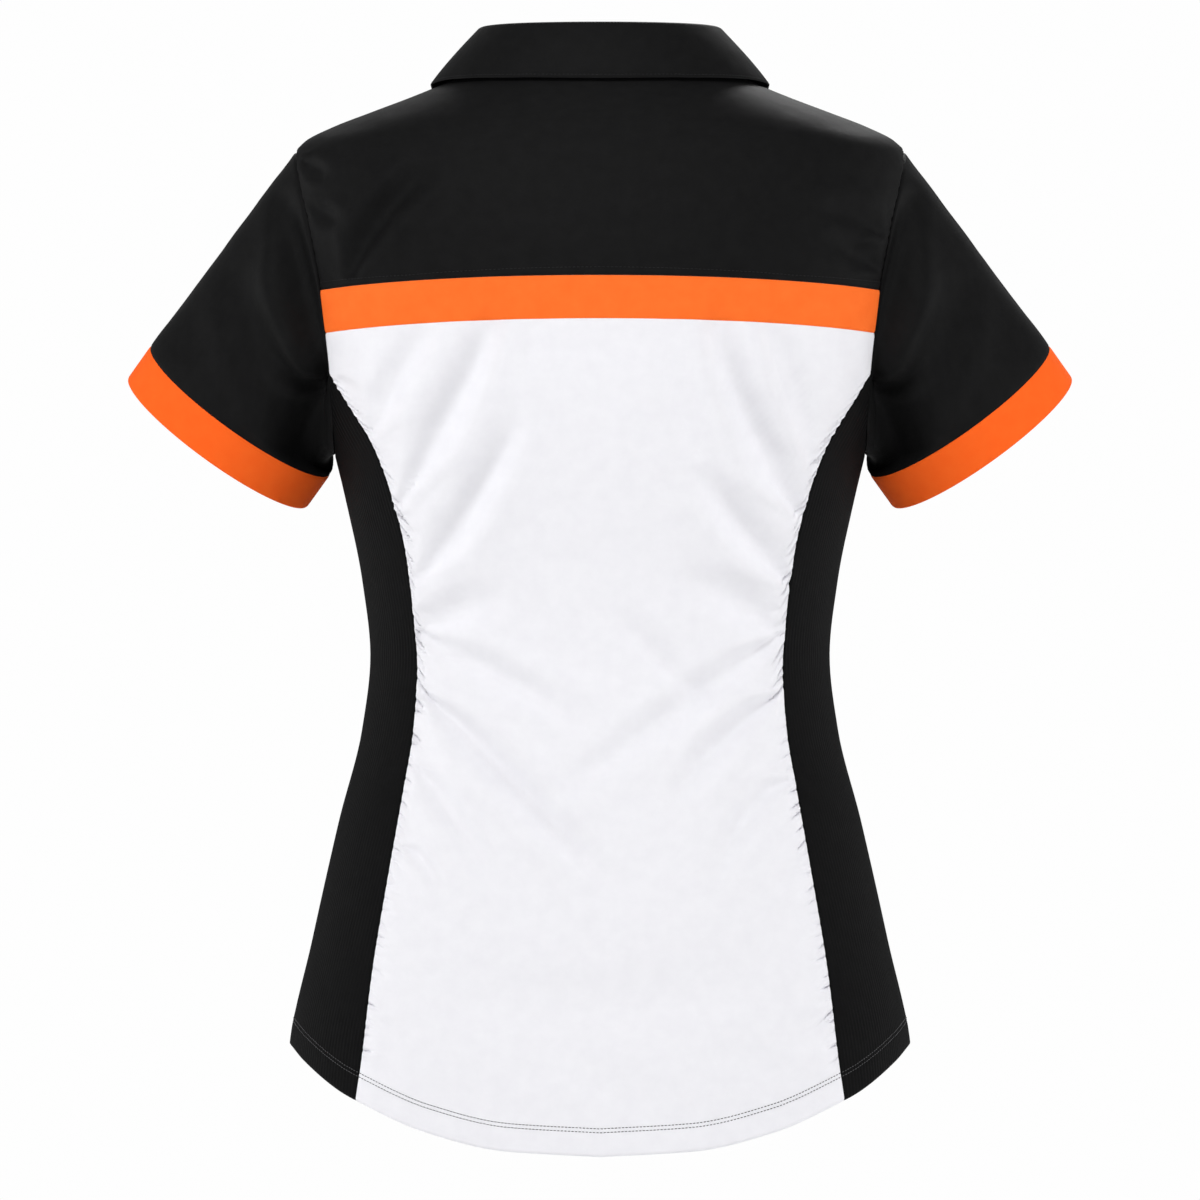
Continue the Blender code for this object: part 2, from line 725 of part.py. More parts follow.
def build_back():
    """Back panel, band and yoke, each from the left armhole over the back to the right one."""
    half = SEAM / 2
    columns = 2 * COLUMNS_SHOULDER + COLUMNS_NECK_BACK
    junction = seam_meets_armhole(1, -half)
    lower = armhole_turn(band_ends(BAND_BOTTOM)[1] - half, 1)
    edge = joined(
        (even(side_seam(1, -half)), armhole_piece(junction, lower)), (ROWS_SIDE_SEAM, ROWS_ARM_BACK)
    )
    corner = float(edge(np.array(0.0))[0])
    tail = even(hem(corner, np.pi - corner))
    panel = patch(tail, even(band_line(BAND_BOTTOM, -half)), edge, mirrored(edge))
    rows = ROWS_SIDE_SEAM + ROWS_ARM_BACK
    cloth("back_panel", columns, rows, on_form(panel), "white_cloth", gathers=(-0.5, 0.5))

    low = armhole_turn(band_ends(BAND_BOTTOM)[1] + half, 1)
    high = armhole_turn(band_ends(BAND_TOP)[1] - half, 1)
    edge = armhole_piece(low, high)
    band = patch(even(band_line(BAND_BOTTOM, half)), even(band_line(BAND_TOP, -half)), edge, mirrored(edge))
    cloth("back_band", columns, ROWS_BAND, on_form(band), "orange_cloth")

    arm, collar = shoulder_ends()
    edge = armhole_piece(armhole_turn(band_ends(BAND_TOP)[1] + half, 1), arm)
    left_seam = even(shoulder_seam(half))
    top = joined(
        (left_seam, neck_piece(collar, np.pi - collar), mirrored(reverse(left_seam))),
        (COLUMNS_SHOULDER, COLUMNS_NECK_BACK, COLUMNS_SHOULDER),
    )
    yoke = patch(even(band_line(BAND_TOP, half)), top, edge, mirrored(edge), reach=4)
    cloth("back_yoke", columns, ROWS_YOKE, on_form(yoke), "black_cloth")


def build_sides_and_fronts():
    """Side panels under the arms, and the two fronts that meet under the placket."""
    half = SEAM / 2
    back_edge = even(side_seam(1, half))
    front_edge = even(side_seam(-1, half))
    side_top = armhole_piece(*side_seam_turns(half))
    side_hem = even(hem(float(front_edge(np.array(0.0))[0]), float(back_edge(np.array(0.0))[0])))

    arm, collar = shoulder_ends()
    outer = joined(
        (even(side_seam(-1, -half)), armhole_piece(seam_meets_armhole(-1, -half), arm)),
        (ROWS_SIDE_SEAM, ROWS_ARM_FRONT),
    )
    middle = -np.pi / 2 + half / float(column(FORM, FORM_COLUMNS, "half_width", SIDE_SEAM_TOP))
    front_top = joined(
        (even(shoulder_seam(-half)), neck_piece(collar, fall_end()), neck_piece(fall_end(), middle)),
        (COLUMNS_SHOULDER, COLUMNS_NECK_FRONT, COLUMNS_FALL_GAP),
    )
    front_hem = even(hem(float(outer(np.array(0.0))[0]), middle))
    inner_low = front_hem(np.array(1.0))
    inner_high = front_top(np.array(1.0))

    def inner(t):
        t = np.asarray(t, dtype=float)[..., None]
        return inner_low * (1 - t) + inner_high * t

    columns = COLUMNS_SHOULDER + COLUMNS_NECK_FRONT + COLUMNS_FALL_GAP
    rows = ROWS_SIDE_SEAM + ROWS_ARM_FRONT
    for side_name, flip in (("left", lambda path: path), ("right", mirrored)):
        side = patch(flip(side_hem), flip(side_top), flip(front_edge), flip(back_edge))
        cloth("side_panel_" + side_name, COLUMNS_SIDE, ROWS_SIDE_SEAM, on_form(side), "ribbed_cloth")
        front = patch(flip(front_hem), flip(front_top), flip(outer), flip(inner), reach=2)
        cloth("front_" + side_name, columns, rows, on_form(front), "white_cloth", gathers=(-0.5,))


def placket_place(x, share):
    """A place on the front at distance x from the middle and a share of the way from hem to neck."""
    middle = -np.pi / 2
    far_side = -np.pi / 3
    neck_places = neck(np.linspace(middle, far_side, 40))
    neck_x = plain_form(neck_places[:, 0], neck_places[:, 1])[:, 0]
    high = np.interp(np.abs(x), neck_x, neck_places[:, 1]) - PLACKET_BELOW_NECK
    hem_places = hem(middle, far_side)(np.linspace(0.0, 1.0, 40))
    hem_x = plain_form(hem_places[:, 0], hem_places[:, 1])[:, 0]
    low = np.interp(np.abs(x), hem_x, hem_places[:, 1])
    level = low + (high - low) * share
    return np.stack((angle_at_x(x, level, -1), level), axis=-1)


def build_placket():
    def strip(u, v):
        return placket_place(PLACKET_HALF * (2 * u - 1), v)

    rows = ROWS_SIDE_SEAM + ROWS_ARM_FRONT
    cloth("front_placket", 2, rows, on_form(strip, lift=WALL + PLACKET_CLEAR), "white_cloth")


def stand_frame(turn):
    """Neck seam points, the way in toward the neck, and the stand's height there."""
    places = neck(turn)
    points = plain_form(places[..., 0], places[..., 1])
    c = np.cos(turn)
    s = np.sin(turn)
    outward = unit(np.stack((c / NECK_HALF, s / np.where(s >= 0, NECK_BACK, NECK_FRONT), 0 * c), axis=-1))
    front_share = smoothstep(np.clip(-s, 0.0, 1.0))
    height = STAND_HEIGHT_BACK + (STAND_HEIGHT_FRONT - STAND_HEIGHT_BACK) * front_share
    return points, outward, height


def stand_place(u, v):
    """The stand's inner face: it starts inside the neck seam and leans in a little as it rises."""
    turn = turn_at(neck_stations(), u)
    points, outward, height = stand_frame(turn)
    inset = WALL + SEAM + STAND_LEAN * v
    rise = np.stack((0 * v, 0 * v, height * v), axis=-1)
    return points - outward * inset[:, None] + rise, outward


def fall_turn(u):
    """The neck seam's turn at a share of the fall's length, station by station as on the stand."""
    turns = neck_stations()
    return turn_at(turns[COLUMNS_FALL_GAP : len(turns) - COLUMNS_FALL_GAP], u)


def fall_points(u, v):
    """The fall's inner face: over the stand's top, then down to an edge that rests near the shirt."""
    turn = fall_turn(u)
    points, outward, height = stand_frame(turn)
    corner = points - outward * (STAND_LEAN + SEAM + WALL)
    corner = corner + np.stack((0 * u, 0 * u, height), axis=-1)
    roll_out = column(FALL_ROLL, FALL_ROLL_COLUMNS, "out", v)[..., None]
    roll_up = column(FALL_ROLL, FALL_ROLL_COLUMNS, "up", v)
    top = corner + outward * roll_out + np.stack((0 * u, 0 * u, roll_up), axis=-1)
    share = np.abs(2 * u - 1)
    x = column(FALL_EDGE, FALL_COLUMNS, "x", share) * np.sign(1 - 2 * u)
    y = column(FALL_EDGE, FALL_COLUMNS, "y", share)
    level, angle = level_under(x, np.where(np.abs(y) < 1e-9, 1e-9, y))
    low, away = form(angle, level)
    low = low + away * (WALL + FALL_CLEAR)
    roll_end = FALL_ROLL[-2, 0]
    t = (np.clip(v - roll_end, 0.0, 1.0) / (1 - roll_end))[..., None]
    return top * (1 - t) + low * t + outward * FALL_BOW * 4 * t * (1 - t)


def surface_normal(points_at, u, v, outward):
    """The direction off a surface points_at(u, v), on the side that outward points to."""
    step = 1e-3
    along = points_at(u + step, v) - points_at(u - step, v)
    down = points_at(u, np.minimum(v + step, 1.0)) - points_at(u, np.maximum(v - step, 0.0))
    normal = unit(np.cross(along, down))
    return normal * np.sign(np.sum(normal * outward, axis=-1, keepdims=True))


def fall_place(u, v):
    """The fall's inner face and the direction off it."""
    inner = np.clip(u, 0.002, 0.998)
    outward = stand_frame(fall_turn(inner))[1]
    normal = surface_normal(fall_points, inner, v, outward + np.array((0.0, 0.0, 2.0)))
    return fall_points(u, v), normal


def build_collar():
    columns = COLUMNS_NECK_BACK + 2 * COLUMNS_NECK_FRONT
    cloth("collar_stand", columns + 2 * COLUMNS_FALL_GAP, 2, stand_place, "black_cloth", closed=True)
    cloth("collar_fall", columns, 5, fall_place, "black_cloth")


def sleeve_axes(side):
    """The opening's long and deep directions and the way the sleeve points, for one side."""
    rise = np.radians(CUFF_RISE)
    forward = np.radians(SLEEVE_FORWARD)
    long_way = np.array((np.cos(rise) * side, 0.0, np.sin(rise)))
    down = np.array((np.sin(rise) * side, 0.0, -np.cos(rise)))
    points_to = down * np.cos(forward) - np.array((0.0, np.sin(forward), 0.0))
    deep_way = down * np.sin(forward) + np.array((0.0, np.cos(forward), 0.0))
    return long_way, deep_way, points_to


def cuff_ring(turn, side, back_from_end):
    """A ring of the sleeve near its end. Turn is the armhole's turn; the top is a quarter turn."""
    long_way, deep_way, points_to = sleeve_axes(side)
    lean = np.tan(np.radians(SLEEVE_FORWARD)) * CUFF_REACH
    end = np.array((CUFF_MID_X * side, -lean, CUFF_MID_Z))
    middle = end - points_to * back_from_end
    long_part = long_way * np.sin(turn)[:, None]
    deep_part = deep_way * np.cos(turn)[:, None]
    ring = long_part * CUFF_HALF_LONG + deep_part * CUFF_HALF_DEEP
    outward = unit(long_part / CUFF_HALF_LONG + deep_part / CUFF_HALF_DEEP)
    return middle + ring, outward


def armhole_frame(turn, side):
    """Armhole points on the form, the way along them, out of them over the cloth, and off the form."""
    step = 0.01
    mirror = np.array((side, 1.0, 1.0))
    here = armhole(turn)
    points, outward = form(here[..., 0], here[..., 1])
    after = plain_form(*np.moveaxis(armhole(turn + step), -1, 0))
    before = plain_form(*np.moveaxis(armhole(turn - step), -1, 0))
    along = unit(after - before)
    leave = np.cross(outward, along)
    return points * mirror, along * mirror, leave * mirror, outward * mirror


def sleeve_points(turn, v, side):
    """The sleeve's inner face: from the armhole, curving over, to run straight into its band."""
    points_to = sleeve_axes(side)[2]
    ring_turn = turn + SLEEVE_TWIST * (1 - np.sin(turn)) / 2
    end, ring_out = cuff_ring(ring_turn, side, SLEEVE_BAND + SEAM)
    points, along, leave, off_form = armhole_frame(turn, side)
    over = smoothstep((np.sin(turn) - SLEEVE_OVER_FROM) / (1 - SLEEVE_OVER_FROM))[:, None] * SLEEVE_OVER
    way = unit(leave * over + points_to * (1 - over))
    off_sleeve = unit(np.cross(along, way))
    off_sleeve = off_sleeve * np.sign(np.sum(off_sleeve * ring_out, axis=-1, keepdims=True))
    between = unit(leave + way)
    bent_out = np.sum(way * off_form, axis=-1, keepdims=True)
    gap = SLEEVE_SEAM + WALL * np.maximum(-bent_out, 0.0)
    start = points + (off_form - off_sleeve) * WALL + between * gap
    reach = np.linalg.norm(end - start, axis=1)[:, None]
    leaves = way * np.minimum(SLEEVE_LEAVES, reach * SLEEVE_MOST)
    arrives = points_to * np.minimum(SLEEVE_ARRIVES, reach * SLEEVE_MOST)
    t = v[:, None]
    surface = (2 * t**3 - 3 * t**2 + 1) * start + (t**3 - 2 * t**2 + t) * leaves
    surface = surface + (3 * t**2 - 2 * t**3) * end + (t**3 - t**2) * arrives
    return surface, off_sleeve, ring_out


def sleeve_place(side):
    turns = armhole_stations()

    def place(u, v):
        turn = turn_at(turns, u)
        points, off_start, ring_out = sleeve_points(turn, v, side)
        step = 1e-3
        along = sleeve_points(turn + step, v, side)[0] - sleeve_points(turn - step, v, side)[0]
        down = sleeve_points(turn, v + step, side)[0] - sleeve_points(turn, v - step, side)[0]
        normal = unit(np.cross(along, down))
        normal = normal * np.sign(np.sum(normal * (off_start + ring_out), axis=-1, keepdims=True))
        at_start = (1 - smoothstep(v / SLEEVE_SETTLES))[:, None]
        at_end = (1 - smoothstep((1 - v) / SLEEVE_SETTLES))[:, None]
        return points, unit(normal * (1 - at_start - at_end) + off_start * at_start + ring_out * at_end)

    return place


def sleeve_band_place(side):
    turns = armhole_stations()

    def place(u, v):
        turn = turn_at(turns, u)
        ring_turn = turn + SLEEVE_TWIST * (1 - np.sin(turn)) / 2
        start, outward = cuff_ring(ring_turn, side, SLEEVE_BAND)
        end, outward = cuff_ring(ring_turn, side, 0.0)
        t = v[:, None]
        return start * (1 - t) + end * t, outward

    return place


def build_sleeves():
    columns = COLUMNS_SIDE + ROWS_ARM_BACK + ROWS_BAND + ROWS_YOKE + ROWS_ARM_FRONT
    for side_name, side in (("left", 1.0), ("right", -1.0)):
        cloth("sleeve_" + side_name, columns, ROWS_SLEEVE, sleeve_place(side), "black_cloth", closed=True)
        cloth("sleeve_band_" + side_name, columns, 2, sleeve_band_place(side), "orange_cloth", closed=True)


def build_button(number, centre, outward):
    """A small disc with a rounded rim, lying on the cloth."""
    shape = bmesh.new()
    bmesh.ops.create_cone(
        shape, cap_ends=True, segments=16, radius1=BUTTON_RADIUS, radius2=BUTTON_RADIUS, depth=BUTTON_THICK
    )
    rims = [edge for edge in shape.edges if abs(edge.verts[0].co.z - edge.verts[1].co.z) < 1e-6]
    bmesh.ops.bevel(
        shape, geom=rims, offset=BUTTON_EDGE, segments=1, profile=0.5, affect="EDGES", material=-1
    )
    button = add_object("button_" + str(number), shape, "button_black")
    side_way = np.array((1.0, 0.0, 0.0))
    up_way = unit(np.cross(outward, side_way))
    side_way = np.cross(up_way, outward)
    place = np.eye(4)
    place[:3, 0] = side_way
    place[:3, 1] = up_way
    place[:3, 2] = outward
    place[:3, 3] = centre + outward * (LAID_ON + BUTTON_THICK / 2)
    button.matrix_world = Matrix(place.tolist())


def build_buttons():
    middle = np.array((-np.pi / 2,))
    points, outward, height = stand_frame(middle)
    half_way = np.array((0.0, 0.0, height[0] / 2))
    on_stand = points[0] - outward[0] * (SEAM + STAND_LEAN / 2) + half_way
    tilted = unit(outward[0] + np.array((0.0, 0.0, STAND_LEAN / height[0])))
    build_button(1, on_stand, tilted)
    for number in range(BUTTONS_ON_PLACKET):
        level = np.array((BUTTON_TOP - BUTTON_PITCH * number,))
        points, outward = form(middle, level)
        build_button(number + 2, points[0] + outward[0] * (2 * WALL + PLACKET_CLEAR), outward[0])


def main():
    for item in list(bpy.data.objects):
        bpy.data.objects.remove(item)
    shirt = bpy.data.collections.new(COLLECTION)
    bpy.context.scene.collection.children.link(shirt)
    build_back()
    build_sides_and_fronts()
    build_placket()
    build_collar()
    build_sleeves()
    build_buttons()


main()
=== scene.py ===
# %% [markdown]
# # A short-sleeved work shirt
#
# The shirt is black, white and orange, and is seen from behind: a black yoke, an orange band across the
# back, a white back between two ribbed black side panels, and short black sleeves that end in orange bands.
# It is filled out as if worn, with nobody in it, so it is hollow and open at the neck, the hem and the
# sleeves.
#
# The plan is to lay each piece of cloth as a fine grid over one rounded form, to press the creases and the
# small gathers into that grid, and to give it a thin wall. Then come the stitches, the buttons, the cloth
# itself as a material, and the studio.

import bmesh
import bpy
import numpy as np
from mathutils import Matrix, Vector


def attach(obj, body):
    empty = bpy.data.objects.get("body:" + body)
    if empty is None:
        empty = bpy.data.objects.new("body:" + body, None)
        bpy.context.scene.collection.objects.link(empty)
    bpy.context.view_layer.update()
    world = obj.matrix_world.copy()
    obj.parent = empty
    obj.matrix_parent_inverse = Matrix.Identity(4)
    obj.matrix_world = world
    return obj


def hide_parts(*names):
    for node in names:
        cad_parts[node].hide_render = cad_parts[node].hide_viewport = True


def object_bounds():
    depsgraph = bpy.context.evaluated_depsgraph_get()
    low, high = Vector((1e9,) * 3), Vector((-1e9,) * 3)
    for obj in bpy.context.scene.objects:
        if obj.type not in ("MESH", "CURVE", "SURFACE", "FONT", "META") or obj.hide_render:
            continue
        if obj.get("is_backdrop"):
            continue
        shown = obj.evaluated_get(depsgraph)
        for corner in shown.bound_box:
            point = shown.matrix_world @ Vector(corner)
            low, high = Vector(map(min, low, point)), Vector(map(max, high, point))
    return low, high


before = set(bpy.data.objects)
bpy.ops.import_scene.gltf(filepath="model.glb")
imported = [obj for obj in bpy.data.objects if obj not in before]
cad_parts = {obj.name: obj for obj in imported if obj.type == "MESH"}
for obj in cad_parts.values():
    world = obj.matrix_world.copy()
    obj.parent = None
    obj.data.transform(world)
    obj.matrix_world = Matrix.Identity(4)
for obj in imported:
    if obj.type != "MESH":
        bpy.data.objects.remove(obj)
cad_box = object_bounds()
bpy.context.scene.view_settings.view_transform = "Standard"
print("nodes in the frame:", len(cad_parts))

# %% [markdown]
# ## The form under the cloth
#
# A worn shirt takes the shape of a body, and a stack of rounded rings gives the same shape with nobody in
# it. Each row of the table is one ring: its level, half its width, and how far it reaches to the back and
# the front. A smooth curve through the rows gives every level between them. This is the same form as the
# solids have, so the cloth lands where they are.

# %% Read a table of sizes at any place
SQUARENESS = 0.09  # the rings are a little squarer than ellipses
FORM_COLUMNS = ("level", "half_width", "back", "front")
FORM = np.array((
    (-0.720, 0.2010, 0.1240, 0.1220),
    (-0.609, 0.1945, 0.1200, 0.1180),
    (-0.543, 0.1805, 0.1160, 0.1140),
    (-0.467, 0.1634, 0.1080, 0.1070),
    (-0.410, 0.1490, 0.1000, 0.1010),
    (-0.363, 0.1437, 0.0960, 0.0990),
    (-0.315, 0.1489, 0.1000, 0.1080),
    (-0.268, 0.1585, 0.1090, 0.1240),
    (-0.237, 0.1660, 0.1150, 0.1290),
    (-0.210, 0.1735, 0.1190, 0.1290),
    (-0.183, 0.1800, 0.1210, 0.1250),
    (-0.155, 0.1862, 0.1210, 0.1180),
    (-0.129, 0.1905, 0.1190, 0.1100),
    (-0.101, 0.1947, 0.1140, 0.1000),
    (-0.076, 0.1960, 0.1070, 0.0890),
    (-0.060, 0.1950, 0.1010, 0.0820),
    (-0.047, 0.1915, 0.0950, 0.0750),
    (-0.040, 0.1855, 0.0915, 0.0710),
    (-0.031, 0.1678, 0.0870, 0.0650),
    (-0.0225, 0.1458, 0.0820, 0.0590),
    (-0.0125, 0.1193, 0.0755, 0.0510),
    (-0.005, 0.1010, 0.0700, 0.0440),
    (0.005, 0.0790, 0.0620, 0.0350),
    (0.015, 0.0600, 0.0520, 0.0270),
))


def column(table, names, name, at):
    """One column of a table, read at any place by a smooth curve that never passes its rows' range."""
    x = table[:, 0]
    y = table[:, names.index(name)]
    step = np.diff(x)
    rise = np.diff(y) / step
    slope = np.zeros_like(y)
    slope[0] = rise[0]
    slope[-1] = rise[-1]
    both = rise[:-1] * rise[1:]
    safe_sum = np.where(both > 0, rise[:-1] + rise[1:], 1.0)
    slope[1:-1] = np.where(both > 0, 2 * both / safe_sum, 0.0)
    i = np.clip(np.searchsorted(x, at) - 1, 0, len(x) - 2)
    t = np.clip((at - x[i]) / step[i], 0.0, 1.0)
    start = (1 + 2 * t) * (1 - t) ** 2 * y[i] + t * (1 - t) ** 2 * step[i] * slope[i]
    end = t * t * (3 - 2 * t) * y[i + 1] - t * t * (1 - t) * step[i] * slope[i + 1]
    return start + end


def unit(vectors):
    return vectors / np.linalg.norm(vectors, axis=-1, keepdims=True)


def smoothstep(t):
    t = np.clip(t, 0.0, 1.0)
    return t * t * (3 - 2 * t)


# %% A point of the form, by its angle and level
def depth(behind, level):
    """Half depth of the ring at a level, on the back where behind is true, on the front elsewhere."""
    back = column(FORM, FORM_COLUMNS, "back", level)
    front = column(FORM, FORM_COLUMNS, "front", level)
    return np.where(behind, back, front)


def form_point(angle, level):
    """A point of the form. Angle 0 is the wearer's left side, a quarter turn is the middle of the back."""
    half_width = column(FORM, FORM_COLUMNS, "half_width", level)
    c = np.cos(angle)
    s = np.sin(angle)
    x = half_width * c * (1 + SQUARENESS * s * s)
    y = depth(s >= 0, level) * s * (1 + SQUARENESS * c * c)
    return np.stack((x, y, level + 0 * x), axis=-1)


def form_normal(angle, level):
    """The form's outward direction, by small steps both ways."""
    turn = 0.004
    lift = 0.0006
    along = form_point(angle + turn, level) - form_point(angle - turn, level)
    up = form_point(angle, level + lift) - form_point(angle, level - lift)
    return unit(np.cross(along, up))


print("the form is", round(2000 * FORM[:, 1].max()), "mm wide at its widest")

# %% [markdown]
# ## Reading the photo square-on
#
# The camera stands five metres behind the shirt, so cloth that is nearer to it looks a little larger. The
# seams and creases are noted as they are seen. These helpers turn a seen place into a place on the form,
# and back.

# %% Seen places and places on the form
SIGHT = 5.0
EYE_LEVEL = -0.328


def seen(points):
    """Where points of the shirt seem to lie, read square-on from behind."""
    scale = 1 / (1 - points[..., 1] / SIGHT)
    x = points[..., 0] * scale
    z = EYE_LEVEL + (points[..., 2] - EYE_LEVEL) * scale
    return x, z


def inverse_share(ratio):
    """The cosine or sine whose squared-off value is this share of a ring's half size."""
    value = np.clip(np.asarray(ratio, dtype=float), -1.0, 1.0)
    aim = value
    for _ in range(14):
        value = np.clip((aim + SQUARENESS * value**3) / (1 + SQUARENESS), -1.0, 1.0)
    return value


def angle_at_x(x, level, side):
    """The angle of the form's point at this distance x, on the back (side 1) or the front (side -1)."""
    half_width = column(FORM, FORM_COLUMNS, "half_width", level)
    return side * np.arccos(inverse_share(x / half_width))


def settle(side, level_seen, x_seen):
    """The form's angle and level at a place read from behind, on the back or the front."""
    level = np.asarray(level_seen, dtype=float)
    x = np.asarray(x_seen, dtype=float)
    aim_level = level
    aim_x = x
    for _ in range(8):
        angle = angle_at_x(x, level, 1)
        nearness = 1 - form_point(angle, level)[..., 1] / SIGHT
        x = aim_x * nearness
        level = EYE_LEVEL + (aim_level - EYE_LEVEL) * nearness
    return np.stack((side * angle_at_x(x, level, 1), level), axis=-1)


def level_under(x, y):
    """The form's level and angle at a place in plan, above the chest and the back's fullest part."""
    low = np.full_like(x, -0.190)
    high = np.full_like(x, 0.015)
    for _ in range(40):
        mid = (low + high) / 2
        half_width = column(FORM, FORM_COLUMNS, "half_width", mid)
        across = x / half_width
        deep = y / depth(y >= 0, mid)
        angle = np.arctan2(deep, across)
        for _ in range(6):
            s = np.sin(angle)
            c = np.cos(angle)
            angle = np.arctan2(deep * (1 + SQUARENESS * s * s), across * (1 + SQUARENESS * c * c))
        ring = (np.cos(angle) * (1 + SQUARENESS * np.sin(angle) ** 2)) ** 2
        ring += (np.sin(angle) * (1 + SQUARENESS * np.cos(angle) ** 2)) ** 2
        outside = across**2 + deep**2 > ring
        high = np.where(outside, mid, high)
        low = np.where(outside, low, mid)
    return (low + high) / 2, angle


middle_back = form_point(np.array(np.pi / 2), np.array(-0.129))
print("middle of the back under the band:", middle_back.round(4))

# %% [markdown]
# ## The seams
#
# A shirt is cut along its seams, so the seams come before the cloth. Each one is a path over the form: the
# two long seams beside the white back, the armholes, the band across the back, the shoulder seams, the neck
# and the hem. A path gives an angle and a level for each share of its length, and pieces that meet use the
# same path, so that they meet exactly.

# %% Sizes of the seams
SEAM = 0.00006  # space left between two pieces that are sewn together
ARMHOLE_MID = -0.1410
ARMHOLE_HALF = 0.0955
ARMHOLE_BACK = 0.0550
ARMHOLE_FRONT = 0.0500
SHOULDER_SEAM_FORWARD = 0.0180
BAND_TOP = -0.1230
BAND_BOTTOM = -0.1502
BAND_DROP = 0.0095
BAND_REACH = 0.1750
SIDE_SEAM_COLUMNS = ("level", "out")
SIDE_SEAM = np.array((
    (-0.6480, 0.1545),
    (-0.6184, 0.1502),
    (-0.5616, 0.1432),
    (-0.5048, 0.1338),
    (-0.4480, 0.1237),
    (-0.4100, 0.1174),
    (-0.3723, 0.1148),
    (-0.3344, 0.1174),
    (-0.2966, 0.1224),
    (-0.2587, 0.1319),
    (-0.2303, 0.1426),
    (-0.2019, 0.1596),
    (-0.1849, 0.1697),
    (-0.1700, 0.1775),
))
SIDE_SEAM_TOP = -0.1849
SEAM_SLANT = 2.0
SEAM_RUN_IN = 8
HEM_COLUMNS = ("out", "level")
HEM = np.array((
    (0.0, -0.6796),
    (0.060, -0.6760),
    (0.110, -0.6640),
    (0.153, -0.6443),
    (0.165, -0.6373),
    (0.1868, -0.6184),
    (0.1945, -0.6090),
    (0.2100, -0.5900),
))
NECK_HALF = 0.0790
NECK_BACK = 0.0620
NECK_FRONT = 0.0860
NECK_LEVEL = 0.0050


# %% Paths: timed evenly, joined, turned round and mirrored
def path_run(places):
    """Length of cloth from a path's start to each of its places, as shares of the whole."""
    points = form_point(places[:, 0], places[:, 1])
    run = np.concatenate(((0.0,), np.cumsum(np.linalg.norm(np.diff(points, axis=0), axis=1))))
    return run / run[-1]


def even(path, count=400):
    """A path over the form, timed so that equal shares are equal lengths of cloth."""
    places = path(np.linspace(0.0, 1.0, count))
    run = path_run(places)
    return lambda t: np.stack((np.interp(t, run, places[:, 0]), np.interp(t, run, places[:, 1])), axis=-1)


def even_turns(curve, first, last):
    """Turns along a curve of the form, timed so that equal shares are equal lengths of cloth."""
    turns = np.linspace(first, last, 400)
    run = path_run(curve(turns))
    return lambda t: np.interp(t, run, turns)


def joined(paths, shares_of_whole):
    """Paths end to end, each over its own share of the whole."""
    stops = np.concatenate(((0.0,), np.cumsum(shares_of_whole))) / np.sum(shares_of_whole)

    def whole(t):
        t = np.asarray(t, dtype=float)
        piece = np.clip(np.searchsorted(stops, t, side="right") - 1, 0, len(paths) - 1)
        out = np.zeros(t.shape + (2,))
        for number, path in enumerate(paths):
            part = np.clip((t - stops[number]) / (stops[number + 1] - stops[number]), 0.0, 1.0)
            out = np.where((piece == number)[..., None], path(part), out)
        return out

    return whole


def reverse(path):
    return lambda t: path(1 - np.asarray(t, dtype=float))


def mirrored(path):
    """The same path on the wearer's right."""
    return lambda t: path(t) * np.array((-1.0, 1.0)) + np.array((np.pi, 0.0))


# %% The armhole, the side seams and the hem
def armhole(turn):
    """The left armhole on the form. Turn 0 is its back, a quarter its top; it runs on to front and bottom."""
    level = ARMHOLE_MID + ARMHOLE_HALF * np.sin(turn)
    y = np.where(np.cos(turn) >= 0, ARMHOLE_BACK, ARMHOLE_FRONT) * np.cos(turn)
    angle = np.arcsin(inverse_share(y / depth(y >= 0, level)))
    return np.stack((angle, level), axis=-1)


def armhole_turn(level, side):
    """The armhole's turn at a level, on its back (side 1) or its front (side -1)."""
    turn = np.arcsin(np.clip((level - ARMHOLE_MID) / ARMHOLE_HALF, -1.0, 1.0))
    return turn if side > 0 else np.pi - turn


def armhole_piece(first, last):
    """The left armhole between two of its turns."""
    turns = even_turns(armhole, first, last)
    return lambda t: armhole(turns(t))


def seam_meets_armhole(side, gap):
    """The armhole's turn where the side seam, moved by gap toward the side panel, runs into it."""
    out = float(column(SIDE_SEAM, SIDE_SEAM_COLUMNS, "out", SIDE_SEAM_TOP))
    level = float(settle(1, SIDE_SEAM_TOP, out)[1])
    return armhole_turn(level, side) - side * gap * SEAM_SLANT / ARMHOLE_HALF


def hem_meets_side_seam():
    """The level, as seen, where the side seam reaches the hem."""
    level = -0.644
    for _ in range(20):
        level = float(column(HEM, HEM_COLUMNS, "level", column(SIDE_SEAM, SIDE_SEAM_COLUMNS, "out", level)))
    return level


def side_seam(side, gap):
    """The left seam from hem to armhole, moved by gap toward the side panel (positive) or away from it."""
    start = hem_meets_side_seam()
    meets = armhole(np.array(seam_meets_armhole(side, gap)))

    def unmoved(t):
        level = start + (SIDE_SEAM_TOP - start) * t
        place = settle(1, level, column(SIDE_SEAM, SIDE_SEAM_COLUMNS, "out", level))
        half_width = column(FORM, FORM_COLUMNS, "half_width", place[..., 1])
        return np.stack((side * (place[..., 0] - gap / half_width), place[..., 1]), axis=-1)

    def path(t):
        t = np.asarray(t, dtype=float)
        return unmoved(t) + (meets - unmoved(np.ones(()))) * t[..., None] ** SEAM_RUN_IN

    return path


